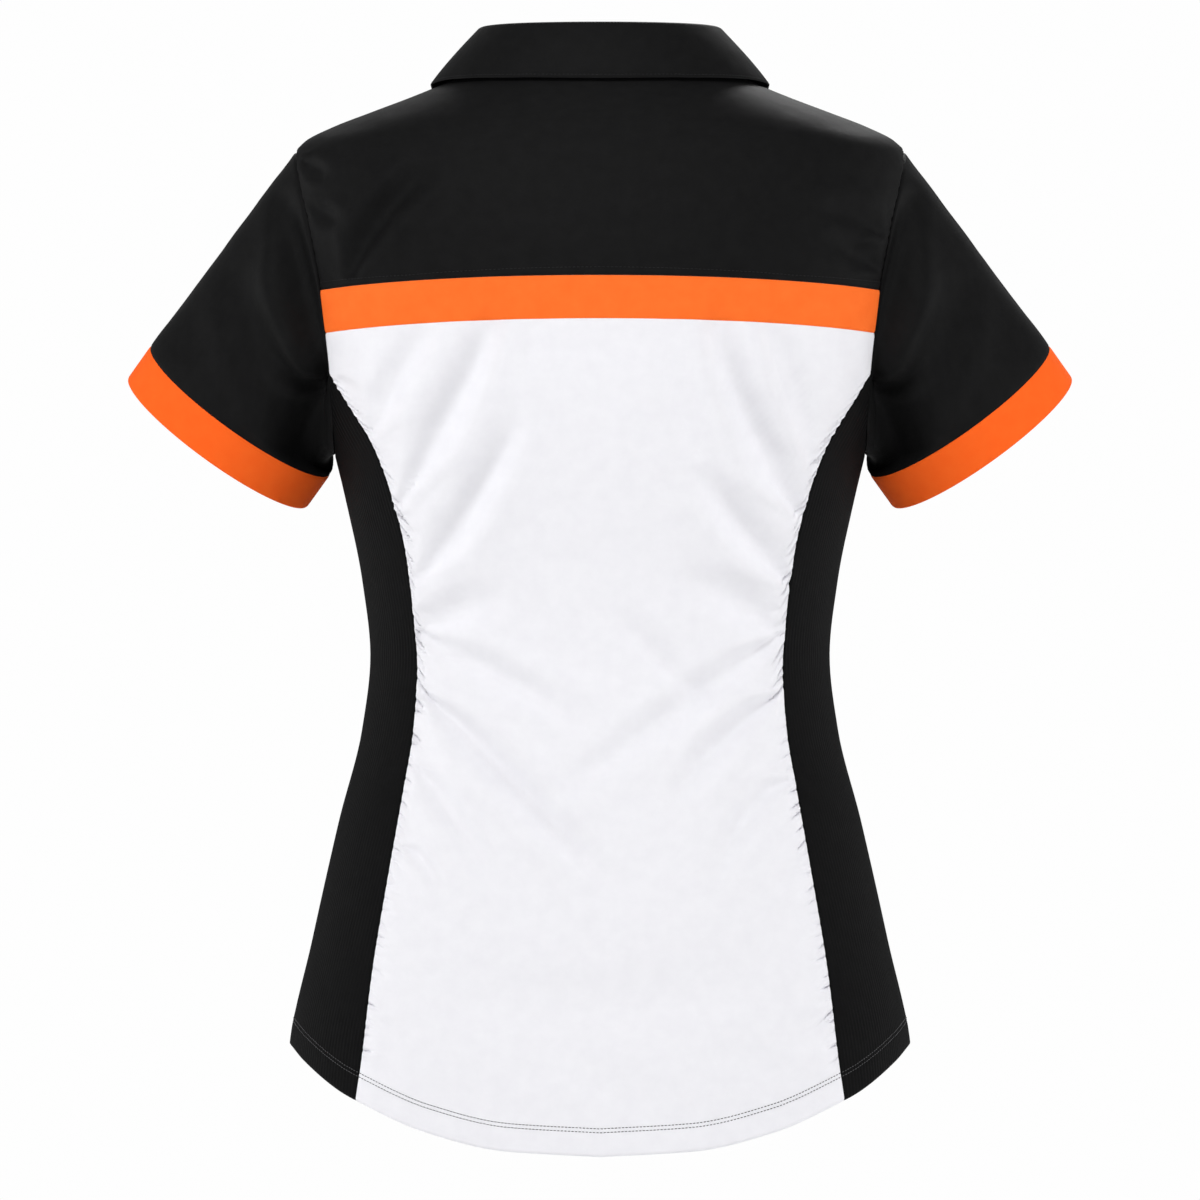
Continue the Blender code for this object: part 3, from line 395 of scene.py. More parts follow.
def hem(first, last):
    """The hem from one angle round to another, turning from +X over the back or the front."""

    def path(t):
        angle = first + (last - first) * np.asarray(t, dtype=float)
        level = np.full_like(angle, -0.65)
        for _ in range(12):
            points = form_point(np.abs(angle), level)
            x, _ = seen(points)
            level_seen = column(HEM, HEM_COLUMNS, "level", np.abs(x))
            level = EYE_LEVEL + (level_seen - EYE_LEVEL) * (1 - points[..., 1] / SIGHT)
        return np.stack((angle, level), axis=-1)

    return path


# %% The band across the back, the neck and the shoulder seams
def band_ends(level_middle):
    """A band line's true level at the middle of the back and at its ends."""
    middle = settle(1, np.array(level_middle), np.array(0.0))
    end = settle(1, np.array(level_middle - BAND_DROP), np.array(BAND_REACH))
    return float(middle[1]), float(end[1])


def band_line(level_middle, gap):
    """A line across the back from the left armhole to the right one, moved up by gap."""
    middle, end = band_ends(level_middle)
    reach = float(armhole(np.array(armhole_turn(end + gap, 1)))[0])

    def path(t):
        angle = reach + (np.pi - 2 * reach) * np.asarray(t, dtype=float)
        share = np.cos(angle) / np.cos(reach)
        return np.stack((angle, middle + (end - middle) * share**2 + gap), axis=-1)

    return path


def neck(turn):
    """The neck seam's place on the form: angle and level. Turn 0 is the left, a quarter the back."""
    back_share = np.where(np.sin(turn) >= 0, NECK_BACK, NECK_FRONT)
    c = np.cos(turn)
    s = np.sin(turn)
    x = NECK_HALF * c * (1 + SQUARENESS * s * s)
    y = back_share * s * (1 + SQUARENESS * c * c)
    level, angle = level_under(x, np.where(np.abs(y) < 1e-9, 1e-9, y))
    behind = s >= -1e-9
    level = np.where(behind, NECK_LEVEL, level)
    angle = np.where(behind, turn, angle)
    return np.stack((np.where(angle < -np.pi / 2 - 1e-9, angle + 2 * np.pi, angle), level), axis=-1)


def neck_piece(first, last):
    """The neck seam between two of its turns."""
    turns = even_turns(neck, first, last)
    return lambda t: neck(turns(t))


def shoulder_ends():
    """Where the forward shoulder seam meets the left armhole (its turn) and the neck (its turn)."""
    arm = np.pi - np.arccos(SHOULDER_SEAM_FORWARD / ARMHOLE_FRONT)
    collar = -np.arcsin(SHOULDER_SEAM_FORWARD / NECK_FRONT)
    return arm, collar


def shoulder_seam(gap):
    """The left forward shoulder seam, from the armhole up to the neck, moved back by gap."""
    arm, collar = shoulder_ends()
    start = armhole(np.array(arm))
    end = neck(np.array(collar))

    def path(t):
        t = np.asarray(t, dtype=float)
        level = start[1] + (end[1] - start[1]) * t
        y_start = form_point(start[0], start[1])[1]
        y_end = form_point(end[0], end[1])[1]
        y = y_start + (y_end - y_start) * smoothstep(t) + gap
        angle = np.arcsin(inverse_share(y / depth(False, level)))
        return np.stack((angle, level), axis=-1)

    return path


print("the side seam reaches the hem at level", round(hem_meets_side_seam(), 4))


# %% [markdown]
# ## Filling a piece between its seams
#
# Four paths that meet at their corners bound a piece. Every place inside is a blend of the four, which is
# how a Coons patch fills a frame of four curves. Levels are first turned into lengths of cloth up the side,
# so that the flat part of the shoulder gets its fair share.


# %% A patch between four paths
def side_profile():
    """Levels of the form and the length of cloth up its side to each of them."""
    levels = np.linspace(FORM[0, 0], FORM[-1, 0], 2000)
    half_width = column(FORM, FORM_COLUMNS, "half_width", levels)
    run = np.concatenate(((0.0,), np.cumsum(np.hypot(np.diff(half_width), np.diff(levels)))))
    return levels, run


def patch(bottom, top, left, right, reach=1):
    """Fills four paths that meet at their corners. A higher reach keeps the sides' bends nearer to them."""
    levels, run = side_profile()

    def laid_out(path, t):
        places = path(t)
        return np.stack((places[..., 0], np.interp(places[..., 1], levels, run)), axis=-1)

    def bend(side, v):
        ends = laid_out(side, np.zeros(1)) * (1 - v)[..., None] + laid_out(side, np.ones(1)) * v[..., None]
        return laid_out(side, v) - ends

    def inside(u, v):
        ruled = laid_out(bottom, u) * (1 - v)[..., None] + laid_out(top, u) * v[..., None]
        ruled = ruled + bend(left, v) * ((1 - u) ** reach)[..., None]
        ruled = ruled + bend(right, v) * (u**reach)[..., None]
        return np.stack((ruled[..., 0], np.interp(ruled[..., 1], run, levels)), axis=-1)

    return inside


# %% [markdown]
# ## Cloth as a grid
#
# A grid of points is easy to shape: each point knows how far it is from every edge of its piece. Seams,
# gathers and hems all depend on those lengths. The grid's lines lie close together near the edges, where
# the small forms are, and further apart in the middle.


# %% Grid lines, and lengths of cloth over a grid
def grid_lines(length, step, near_first=(), near_last=()):
    """Shares of a length: the given distances from either end, with even steps between them."""
    first = np.array((0.0, *near_first))
    last = length - np.array((0.0, *near_last))[::-1]
    count = max(1, int(round((last[0] - first[-1]) / step)))
    middle = np.linspace(first[-1], last[0], count + 1)[1:-1]
    return np.concatenate((first, middle, last)) / length


def lengths(points, axis):
    """Running lengths of cloth along a grid's rows (axis 1) or up its columns (axis 0)."""
    steps = np.linalg.norm(np.diff(points, axis=axis), axis=-1)
    run = np.cumsum(steps, axis=axis)
    start = np.zeros_like(np.take(run, [0], axis=axis))
    return np.concatenate((start, run), axis=axis)


SEAM_LINES = (0.0005, 0.0011, 0.0018, 0.0028)
WALL = 0.0012  # the solids' wall, whose outer face the cloth follows
SHELL = 0.0008  # the cloth's own wall
SEAM_DIP = 0.00055
SEAM_DIP_REACH = 0.0011


def dip(distance, deep=SEAM_DIP, reach=SEAM_DIP_REACH):
    """How far a seam, a fold or a row of stitches pulls the cloth in at a distance from it."""
    return deep * np.exp(-((distance / reach) ** 2))


class Cloth:
    """A piece of cloth as a grid: its places, the way off it, and its lengths of cloth from each edge."""

    def __init__(self, points, out):
        self.points = points
        self.out = out
        across = lengths(points, 1)
        up = lengths(points, 0)
        self.left = across
        self.right = across[:, -1:] - across
        self.low = up
        self.high = up[-1:, :] - up
        self.lift = np.full(points.shape[:2], WALL)
        self.wall = np.full(points.shape[:2], SHELL)

    def face(self):
        """The piece's outer face."""
        return self.points + self.out * self.lift[..., None]

    def draw_in(self, distances, deep=SEAM_DIP, reach=SEAM_DIP_REACH):
        """Sinks the outer face beside each of the lines that these distances are measured from."""
        for distance in distances:
            self.lift = self.lift - dip(distance, deep, reach)


# %% [markdown]
# ## Soft creases
#
# Cloth that is drawn toward a seam makes soft troughs, each with a low swell beside it. Every row of this
# table is one crease, placed where the photo shows it: three points that it bends through, in metres as
# seen from behind, then its width and depth, how narrow it starts, how strong it is at its first point and
# its last, and how high the swell beside it is. Most start narrow and sharp at a seam and grow wide and
# soft. The front has no photo, so it gets quieter creases of the same kind.

# %% The creases of the back and of the front
CREASE_COLUMNS = (
    "x1", "z1", "x2", "z2", "x3", "z3", "width", "depth", "pinch", "first", "last", "swell",
)
BACK_CREASES = np.array((
    # upper left
    (0.1240, -0.2660, 0.0883, -0.1950, 0.0700, -0.1540, 0.0098, 0.0078, 0.30, 0.20, 0.45, 0.45),
    (0.1130, -0.3140, 0.0789, -0.2650, 0.0520, -0.2080, 0.0092, 0.0066, 0.35, 0.20, 0.20, 0.45),
    (0.1430, -0.2220, 0.1290, -0.1900, 0.1120, -0.1600, 0.0080, 0.0044, 0.40, 0.30, 0.45, 0.35),
    (0.1660, -0.1890, 0.1580, -0.1920, 0.1490, -0.2000, 0.0030, 0.0010, 0.60, 0.60, 0.10, 0.40),
    (0.0600, -0.2000, 0.0470, -0.1750, 0.0370, -0.1540, 0.0110, 0.0030, 1.00, 0.10, 0.50, 0.20),
    # waist and below, left
    (0.1140, -0.3480, 0.0640, -0.3760, 0.0050, -0.4080, 0.0082, 0.0046, 0.22, 0.40, 0.20, 0.45),
    (0.1170, -0.3340, 0.1000, -0.3210, 0.0700, -0.3020, 0.0080, -0.0026, 0.40, 0.40, 0.10, 0.00),
    (0.1100, -0.3470, 0.0930, -0.3370, 0.0540, -0.3230, 0.0110, 0.0044, 0.25, 0.35, 0.10, 0.25),
    (0.1120, -0.3845, 0.0580, -0.4410, -0.0095, -0.5143, 0.0090, 0.0078, 0.20, 0.26, 0.10, 0.45),
    (0.1150, -0.4340, 0.0960, -0.4600, 0.0700, -0.5020, 0.0066, 0.0042, 0.26, 0.30, 0.05, 0.45),
    (0.1230, -0.4840, 0.1120, -0.4930, 0.0978, -0.5174, 0.0042, 0.0028, 0.28, 0.50, 0.05, 0.50),
    (0.1290, -0.5150, 0.1140, -0.5300, 0.0978, -0.5521, 0.0065, 0.0014, 0.30, 0.50, 0.10, 0.30),
    # upper right
    (-0.1250, -0.2740, -0.0960, -0.2160, -0.0740, -0.1560, 0.0098, 0.0080, 0.30, 0.20, 0.45, 0.45),
    (-0.1190, -0.3180, -0.0883, -0.2808, -0.0620, -0.2430, 0.0090, 0.0060, 0.30, 0.25, 0.10, 0.45),
    (-0.1310, -0.2420, -0.1200, -0.1960, -0.1080, -0.1580, 0.0080, 0.0046, 0.40, 0.25, 0.45, 0.35),
    (-0.1560, -0.1720, -0.1600, -0.1800, -0.1640, -0.1880, 0.0060, 0.0014, 1.00, 0.30, 0.60, 0.30),
    (-0.0640, -0.2400, -0.0530, -0.2000, -0.0410, -0.1540, 0.0110, 0.0030, 1.00, 0.20, 0.40, 0.20),
    # waist and below, right
    (-0.0110, -0.3340, -0.0379, -0.3660, -0.0631, -0.3849, 0.0080, 0.0042, 1.00, 0.10, 0.50, 0.35),
    (-0.1080, -0.3460, -0.0850, -0.3290, -0.0480, -0.3130, 0.0125, 0.0058, 0.30, 0.40, 0.10, 0.15),
    (-0.1130, -0.3500, -0.0560, -0.3930, 0.0252, -0.4480, 0.0086, 0.0048, 0.24, 0.42, 0.40, 0.40),
    (-0.1140, -0.3330, -0.0980, -0.3150, -0.0780, -0.2950, 0.0080, -0.0026, 0.40, 0.40, 0.10, 0.00),
    (-0.1120, -0.3880, -0.0800, -0.4150, -0.0480, -0.4560, 0.0078, 0.0060, 0.26, 0.28, 0.10, 0.45),
    (-0.1180, -0.4420, -0.0960, -0.4620, -0.0720, -0.5080, 0.0074, 0.0048, 0.26, 0.32, 0.05, 0.40),
    (-0.1240, -0.4900, -0.1130, -0.5060, -0.1000, -0.5240, 0.0055, 0.0012, 0.30, 0.50, 0.10, 0.30),
    # low, broad and faint
    (-0.1104, -0.6247, -0.0920, -0.6170, -0.0757, -0.6058, 0.0130, 0.0018, 0.40, 0.50, 0.20, 0.20),
    (0.0410, -0.6058, 0.0050, -0.6270, -0.0316, -0.6499, 0.0150, 0.0032, 1.00, 0.20, 0.30, 0.20),
    (0.0900, -0.5760, 0.0000, -0.5860, -0.0900, -0.5700, 0.0220, 0.0050, 1.00, 0.40, 0.40, 0.10),
    (0.1390, -0.5950, 0.1220, -0.6080, 0.1080, -0.6260, 0.0100, 0.0020, 0.30, 0.50, 0.10, 0.30),
    (-0.1420, -0.5900, -0.1280, -0.6010, -0.1120, -0.6080, 0.0090, 0.0018, 0.30, 0.50, 0.10, 0.30),
    # yoke
    (0.1560, -0.1200, 0.1400, -0.0880, 0.1110, -0.0580, 0.0076, 0.0066, 0.50, 0.40, 0.20, 0.50),
    (0.1880, -0.0520, 0.1790, -0.0560, 0.1720, -0.0600, 0.0045, 0.0026, 0.50, 0.60, 0.10, 0.40),
    (0.1800, -0.0800, 0.1720, -0.0850, 0.1650, -0.0900, 0.0050, 0.0030, 0.50, 0.60, 0.10, 0.40),
    (-0.1754, -0.0965, -0.1600, -0.0870, -0.1400, -0.0789, 0.0075, 0.0044, 0.40, 0.60, 0.10, 0.40),
    (-0.1735, -0.1180, -0.1600, -0.1070, -0.1439, -0.0934, 0.0075, 0.0044, 0.40, 0.60, 0.10, 0.40),
    (0.1754, -0.0372, 0.1620, -0.0300, 0.1470, -0.0246, 0.0070, 0.0010, 1.00, 0.40, 0.40, 0.20),
    (-0.1740, -0.0360, -0.1600, -0.0296, -0.1450, -0.0240, 0.0070, 0.0010, 1.00, 0.40, 0.40, 0.20),
))
FRONT_CREASES = np.array((
    (0.1640, -0.1900, 0.1360, -0.2120, 0.1050, -0.2280, 0.0085, 0.0030, 0.25, 0.50, 0.10, 0.40),
    (0.1480, -0.2200, 0.1240, -0.2320, 0.0960, -0.2380, 0.0075, 0.0022, 0.25, 0.50, 0.10, 0.40),
    (0.1200, -0.3000, 0.0880, -0.2840, 0.0600, -0.2700, 0.0110, 0.0024, 0.30, 0.50, 0.10, 0.30),
    (0.1130, -0.3560, 0.0700, -0.3800, 0.0260, -0.4080, 0.0085, 0.0032, 0.20, 0.50, 0.20, 0.40),
    (0.1130, -0.3980, 0.0760, -0.4360, 0.0380, -0.4780, 0.0082, 0.0034, 0.20, 0.50, 0.15, 0.40),
    (0.1180, -0.4500, 0.0960, -0.4780, 0.0700, -0.5080, 0.0070, 0.0024, 0.25, 0.50, 0.10, 0.40),
    (0.1560, -0.0960, 0.1250, -0.1080, 0.0980, -0.1180, 0.0110, 0.0020, 0.50, 0.60, 0.20, 0.30),
    (0.1280, -0.5300, 0.1080, -0.5480, 0.0860, -0.5640, 0.0095, 0.0018, 0.30, 0.50, 0.10, 0.30),
    (-0.1600, -0.1960, -0.1320, -0.2160, -0.1000, -0.2300, 0.0085, 0.0030, 0.25, 0.50, 0.10, 0.40),
    (-0.1440, -0.2260, -0.1200, -0.2390, -0.0900, -0.2460, 0.0080, 0.0022, 0.25, 0.50, 0.10, 0.40),
    (-0.1190, -0.3060, -0.0900, -0.2920, -0.0640, -0.2800, 0.0110, 0.0022, 0.30, 0.50, 0.10, 0.30),
    (-0.1140, -0.3480, -0.0720, -0.3760, -0.0300, -0.4000, 0.0085, 0.0032, 0.20, 0.50, 0.20, 0.40),
    (-0.1120, -0.3900, -0.0800, -0.4240, -0.0420, -0.4620, 0.0082, 0.0034, 0.20, 0.50, 0.15, 0.40),
    (-0.1170, -0.4420, -0.0920, -0.4720, -0.0640, -0.5000, 0.0075, 0.0024, 0.25, 0.50, 0.10, 0.40),
    (-0.1570, -0.1020, -0.1280, -0.1120, -0.1000, -0.1240, 0.0110, 0.0020, 0.50, 0.60, 0.20, 0.30),
    (-0.1300, -0.5260, -0.1100, -0.5420, -0.0900, -0.5560, 0.0095, 0.0018, 0.30, 0.50, 0.10, 0.30),
    (0.0200, -0.2600, 0.0420, -0.2540, 0.0640, -0.2440, 0.0110, 0.0014, 1.00, 0.60, 0.10, 0.20),
    (-0.0200, -0.3400, -0.0420, -0.3380, -0.0640, -0.3300, 0.0110, 0.0014, 1.00, 0.60, 0.10, 0.20),
))


# %% Press the creases in
WIDENS_OVER = 0.32  # share of a crease's length over which it widens from its pinched start


def bent_line(crease, count=22):
    """Points along a crease, through its three given points."""
    t = np.linspace(0.0, 1.0, count)
    first = np.array((crease["x1"], crease["z1"]))
    middle = np.array((crease["x2"], crease["z2"]))
    last = np.array((crease["x3"], crease["z3"]))
    pull = 2 * middle - (first + last) / 2
    return (
        first * ((1 - t) ** 2)[:, None] + pull * (2 * t * (1 - t))[:, None] + last * (t**2)[:, None]
    )


def crease_depth(x, z, table):
    """How deep the creases of a table press the cloth in at these seen places."""
    total = np.zeros_like(x)
    for row in table:
        crease = dict(zip(CREASE_COLUMNS, row))
        line = bent_line(crease)
        reach = crease["width"] * 4.5
        near = (x > line[:, 0].min() - reach) & (x < line[:, 0].max() + reach)
        near &= (z > line[:, 1].min() - reach) & (z < line[:, 1].max() + reach)
        if not near.any():
            continue
        place = np.stack((x[near], z[near]), axis=-1)[:, None, :]
        start = line[:-1]
        run = line[1:] - start
        share = np.clip(((place - start) * run).sum(-1) / (run**2).sum(-1), 0.0, 1.0)
        distance = np.linalg.norm(place - start - run * share[..., None], axis=-1)
        nearest = distance.argmin(axis=1)
        rows = np.arange(len(nearest))
        along = (nearest + share[rows, nearest]) / len(start)
        widened = crease["pinch"] + (1 - crease["pinch"]) * smoothstep(along / WIDENS_OVER)
        away = distance[rows, nearest] / (crease["width"] * widened)
        strength = crease["first"] + (crease["last"] - crease["first"]) * along
        strength = strength + (1 - strength) * np.sin(np.pi * along) ** 0.8
        trough = np.exp(-(away**2))
        beside = crease["swell"] * np.exp(-(((away - 1.9) / 0.95) ** 2))
        total[near] += crease["depth"] * strength * (trough - beside)
    return total


FOLDS_FROM = 0.010
FOLDS_FULL = 0.040
SEAM_HOLDS = 0.0100  # a long seam holds the cloth still over about this width
ARMHOLE_HOLDS = 0.16  # and the armhole over this share of its size


def held_by_seams(x, z, y):
    """How free the cloth is to crease: half at a long seam, less beyond it, and none at the armhole."""
    inside = column(SIDE_SEAM, SIDE_SEAM_COLUMNS, "out", z) - np.abs(x)
    beside_panel = np.where(z < SIDE_SEAM_TOP, smoothstep(0.5 + inside / SEAM_HOLDS), 1.0)
    share_of_armhole = np.hypot(
        (z - ARMHOLE_MID) / ARMHOLE_HALF, y / np.where(y >= 0, ARMHOLE_BACK, ARMHOLE_FRONT)
    )
    return beside_panel * smoothstep((share_of_armhole - 1) / ARMHOLE_HOLDS)


def form(angle, level):
    """A point of the form with its creases, and the outward direction there."""
    points = form_point(angle, level)
    outward = form_normal(angle, level)
    x, z = seen(points)
    y = points[..., 1]
    behind = smoothstep((y - FOLDS_FROM) / (FOLDS_FULL - FOLDS_FROM))
    before = smoothstep((-y - FOLDS_FROM) / (FOLDS_FULL - FOLDS_FROM))
    pressed = crease_depth(x, z, BACK_CREASES) * behind
    pressed = pressed + crease_depth(points[..., 0], points[..., 2], FRONT_CREASES) * before
    return points - outward * (pressed * held_by_seams(x, z, y))[..., None], outward


print("creases by hand:", len(BACK_CREASES), "on the back,", len(FRONT_CREASES), "on the front")

# %% [markdown]
# ## Small gathers beside the long seams
#
# The white cloth is eased into the long seams, so it is drawn up beside them into short sharp tucks, some 7
# mm apart, with soft swells between them. The stitching keeps the very edge almost smooth. Each tuck has
# its own place, depth, length and slant, from one seeded list of random numbers.


# %% Gathers along a seam
GATHER_DEEP = 0.0034
GATHER_HALF = (0.0007, 0.0011)  # half widths, from narrowest to widest
GATHER_SPACING = (0.0050, 0.0096)
GATHER_REACH = (0.0048, 0.0100)  # how far from the seam a tuck fades
GATHER_SLANT = (-0.45, 0.30)
GATHER_SHALLOWEST = 0.40
GATHER_STRENGTHS = (0.6, 1.0, 1.0)
GATHER_WIDENS = 0.5
EDGE_KEEPS = 0.15  # share of a tuck's depth that is left at the very edge
EDGE_WIDE = 0.0012
SWELL_HEIGHT = 0.28  # share of the tuck's depth
SWELL_AWAY = 0.0026
SWELL_WIDE = 0.0016
TUCK_ENDS_ACROSS = 0.006
TUCK_ENDS_AWAY = 0.020


def gathers(along, away, seed, total, deep=GATHER_DEEP, half=GATHER_HALF):
    """Lift of the gathered cloth at a length along a seam and a distance away from it."""
    random = np.random.default_rng(seed)
    centres = np.cumsum(random.uniform(*GATHER_SPACING, int(total / GATHER_SPACING[0])))
    centres = centres[centres < total]
    lift = np.zeros_like(along)
    for centre in centres:
        deep_here = deep * random.uniform(GATHER_SHALLOWEST, 1.0) * random.choice(GATHER_STRENGTHS)
        half_width = random.uniform(*half)
        reach = random.uniform(*GATHER_REACH)
        slant = random.uniform(*GATHER_SLANT)
        across = along - centre - slant * away
        near = (np.abs(across) < TUCK_ENDS_ACROSS) & (away < TUCK_ENDS_AWAY)
        widened = half_width * (1 + away[near] / reach * GATHER_WIDENS)
        off_edge = EDGE_KEEPS + (1 - EDGE_KEEPS) * smoothstep(away[near] / EDGE_WIDE)
        tuck = dip(across[near], 1.0, widened)
        swell = dip(np.abs(across[near]) - SWELL_AWAY, 1.0, SWELL_WIDE)
        lift[near] += deep_here * off_edge * dip(away[near], 1.0, reach) * (SWELL_HEIGHT * swell - tuck)
    return lift


GATHERS_START = 0.020  # above the hem
GATHERS_RISE = 0.012
GATHERS_FADE = 0.020


def gather_edge(cloth, away, seed, total, ends, half=GATHER_HALF):
    """Gathers one edge of a piece, from above its hem up to where the armhole starts."""
    below_arm = 1 - smoothstep((cloth.low - ends) / GATHERS_FADE)
    above_hem = smoothstep((cloth.low - GATHERS_START) / GATHERS_RISE)
    cloth.lift = cloth.lift + gathers(cloth.low, away, seed, total, half=half) * below_arm * above_hem


# %% [markdown]
# ## From grid to cloth
#
# Each piece starts as a flat grid from Blender's own grid operator. Its points are then moved to their
# places, all at once with numpy, which is much quicker than one by one. Solidify gives the cloth its wall,
# thicker where it is turned up, and the result is made the piece's own mesh. The UV map holds real lengths
# of cloth in metres, so that a weave comes out at the same size everywhere.

# %% Make a piece from its grid
pieces = {}
SHARP_FROM = np.radians(50)


def as_mesh(shape, name):
    """Turns a bmesh into a mesh."""
    mesh = bpy.data.meshes.new(name)
    shape.to_mesh(mesh)
    shape.free()
    return mesh


def in_scene(name, data):
    """A new object of the scene with this mesh, lamp or camera."""
    made = bpy.data.objects.new(name, data)
    bpy.context.scene.collection.objects.link(made)
    return made


def grid_mesh(name, points, out, uv, wall, closed):
    """A flat grid from the grid operator, moved to its places, with its map and its share of the wall."""
    rows, columns = points.shape[:2]
    shape = bmesh.new()
    bmesh.ops.create_grid(shape, x_segments=columns - 1, y_segments=rows - 1, size=0.5)
    mesh = as_mesh(shape, name)
    flat = np.empty(len(mesh.vertices) * 3)
    mesh.vertices.foreach_get("co", flat)
    flat = flat.reshape(-1, 3) + 0.5
    i = np.rint(flat[:, 0] * (columns - 1)).astype(int)
    j = np.rint(flat[:, 1] * (rows - 1)).astype(int)
    mesh.vertices.foreach_set("co", points[j, i].ravel())
    corner = np.empty(len(mesh.loops), dtype=int)
    mesh.loops.foreach_get("vertex_index", corner)
    layer = mesh.uv_layers.new(name="cloth")
    layer.data.foreach_set("uv", uv[j[corner], i[corner]].ravel())
    away = out[j, i]
    share = wall[j, i] / wall.max()
    mesh.update()
    normals = np.empty(len(mesh.polygons) * 3)
    mesh.polygons.foreach_get("normal", normals)
    first = np.empty(len(mesh.polygons), dtype=int)
    mesh.polygons.foreach_get("loop_start", first)
    facing = (normals.reshape(-1, 3) * away[corner[first]]).sum()
    if facing < 0:
        mesh.flip_normals()
    piece = in_scene(name, mesh)
    group = piece.vertex_groups.new(name="wall")
    for level in np.unique(share.round(2)):
        group.add(np.nonzero(share.round(2) == level)[0].tolist(), float(level), "REPLACE")
    if closed:
        shape = bmesh.new()
        shape.from_mesh(mesh)
        bmesh.ops.remove_doubles(shape, verts=shape.verts[:], dist=1e-6)
        shape.to_mesh(mesh)
        shape.free()
    return piece


def finished(piece):
    """Makes what the modifiers show the piece's own mesh, smooth except at its sharp edges."""
    graph = bpy.context.evaluated_depsgraph_get()
    mesh = bpy.data.meshes.new_from_object(piece.evaluated_get(graph))
    piece.modifiers.clear()
    old = piece.data
    piece.data = mesh
    bpy.data.meshes.remove(old)
    mesh.polygons.foreach_set("use_smooth", np.ones(len(mesh.polygons), dtype=bool))
    mesh.set_sharp_from_angle(angle=SHARP_FROM)
    piece.vertex_groups.clear()
    return piece


def face_area(points):
    """The area of a grid's cloth."""
    a = points[1:, 1:] - points[:-1, :-1]
    b = points[1:, :-1] - points[:-1, 1:]
    return float(np.linalg.norm(np.cross(a, b), axis=-1).sum() / 2)


def make_piece(node, cloth, closed=False, uv=None):
    """A finished piece of cloth that stands for a solid; its flat size is printed."""
    if uv is None:
        middle = cloth.left[:, -1:] / 2
        uv = np.stack((cloth.left - middle, cloth.low), axis=-1)
    piece = grid_mesh("cloth_" + node, cloth.face(), cloth.out, uv, cloth.wall, closed)
    solid = piece.modifiers.new("wall", "SOLIDIFY")
    solid.thickness = float(cloth.wall.max())
    solid.offset = -1.0
    solid.vertex_group = "wall"
    solid.use_rim = True
    finished(piece)
    width = float(cloth.left[:, -1].max())
    length = float(cloth.low[-1, :].max())
    area = min(face_area(cloth.points), width * length)
    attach(piece, "root")
    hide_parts(node)
    pieces[node] = piece
    triangles = sum(len(face.vertices) - 2 for face in piece.data.polygons)
    print(f"{node}: {1000 * width:.0f} x {1000 * length:.0f} mm of cloth, {triangles} triangles")
    return piece


# %% Real lengths of cloth for the weave
def cloth_map(places, centre):
    """Length round the form from a centre line, and length of cloth up it, for each place."""
    levels, run = side_profile()
    angle = places[..., 0]
    level = places[..., 1]
    steps = np.linspace(0.0, 1.0, 13)
    before = form_point(centre + 0 * angle, level)
    total = np.zeros_like(angle)
    for step in steps[1:]:
        here = form_point(centre + (angle - centre) * step, level)
        total = total + np.linalg.norm(here - before, axis=-1)
        before = here
    return np.stack((total * np.sign(angle - centre), np.interp(level, levels, run)), axis=-1)


def on_form(inside, across, up):
    """A piece of cloth on the form between its paths, and its places, at these grid lines."""
    u, v = np.meshgrid(across, up)
    places = inside(u, v)
    points, out = form(places[..., 0], places[..., 1])
    return Cloth(points, out), places


# %% [markdown]
# ## The white back
#
# The back is one piece of white poplin from one long seam to the other, and from the curved hem up to the
# orange band. Its hem is turned up twice and stitched, so it is thicker there, and the stitching pulls a
# shallow groove. The rows lie 1 mm apart, close enough for the gathers.

# %% Hem, grooves and the back panel
ROWS_SIDE = 22
ROWS_ARM_BACK = 3
ROWS_ARM_FRONT = 6
HEM_LINES = (0.0003, 0.0007, 0.0013, 0.0022)
HEM_UP = 0.0180  # how far the hem is turned up
HEM_ROWS = (0.0150, 0.0174)  # its two rows of stitches, above its fold
HEM_STEP = 0.0016  # over which the turned-up cloth ends
HEM_THICKER = 0.0004
HEM_STANDS = 0.00022
HEM_FOLD = 0.0010
HEM_FOLD_REACH = 0.0008
HEM_GROOVE = 0.00022
HEM_GROOVE_REACH = 0.0007
GATHER_LINES = (0.0005, 0.0011, 0.0018, 0.0026, 0.0036, 0.0048, 0.0062, 0.0080, 0.0102, 0.0130)
HALF = SEAM / 2


def turn_up_hem(cloth):
    """Thickens the cloth where it is turned up, rounds its fold and presses in its rows of stitches."""
    turned = 1 - smoothstep((cloth.low - HEM_UP + HEM_STEP / 2) / HEM_STEP)
    cloth.wall = cloth.wall + HEM_THICKER * turned
    cloth.lift = cloth.lift + HEM_STANDS * turned
    cloth.draw_in((cloth.low,), HEM_FOLD, HEM_FOLD_REACH)
    cloth.draw_in([cloth.low - row for row in HEM_ROWS], HEM_GROOVE, HEM_GROOVE_REACH)


def back_edge():
    """The left edge of the back: up the side seam, then the armhole's back as far as the band."""
    lower = armhole_turn(band_ends(BAND_BOTTOM)[1] - HALF, 1)
    arm = armhole_piece(seam_meets_armhole(1, -HALF), lower)
    return joined((even(side_seam(1, -HALF)), arm), (ROWS_SIDE, ROWS_ARM_BACK))


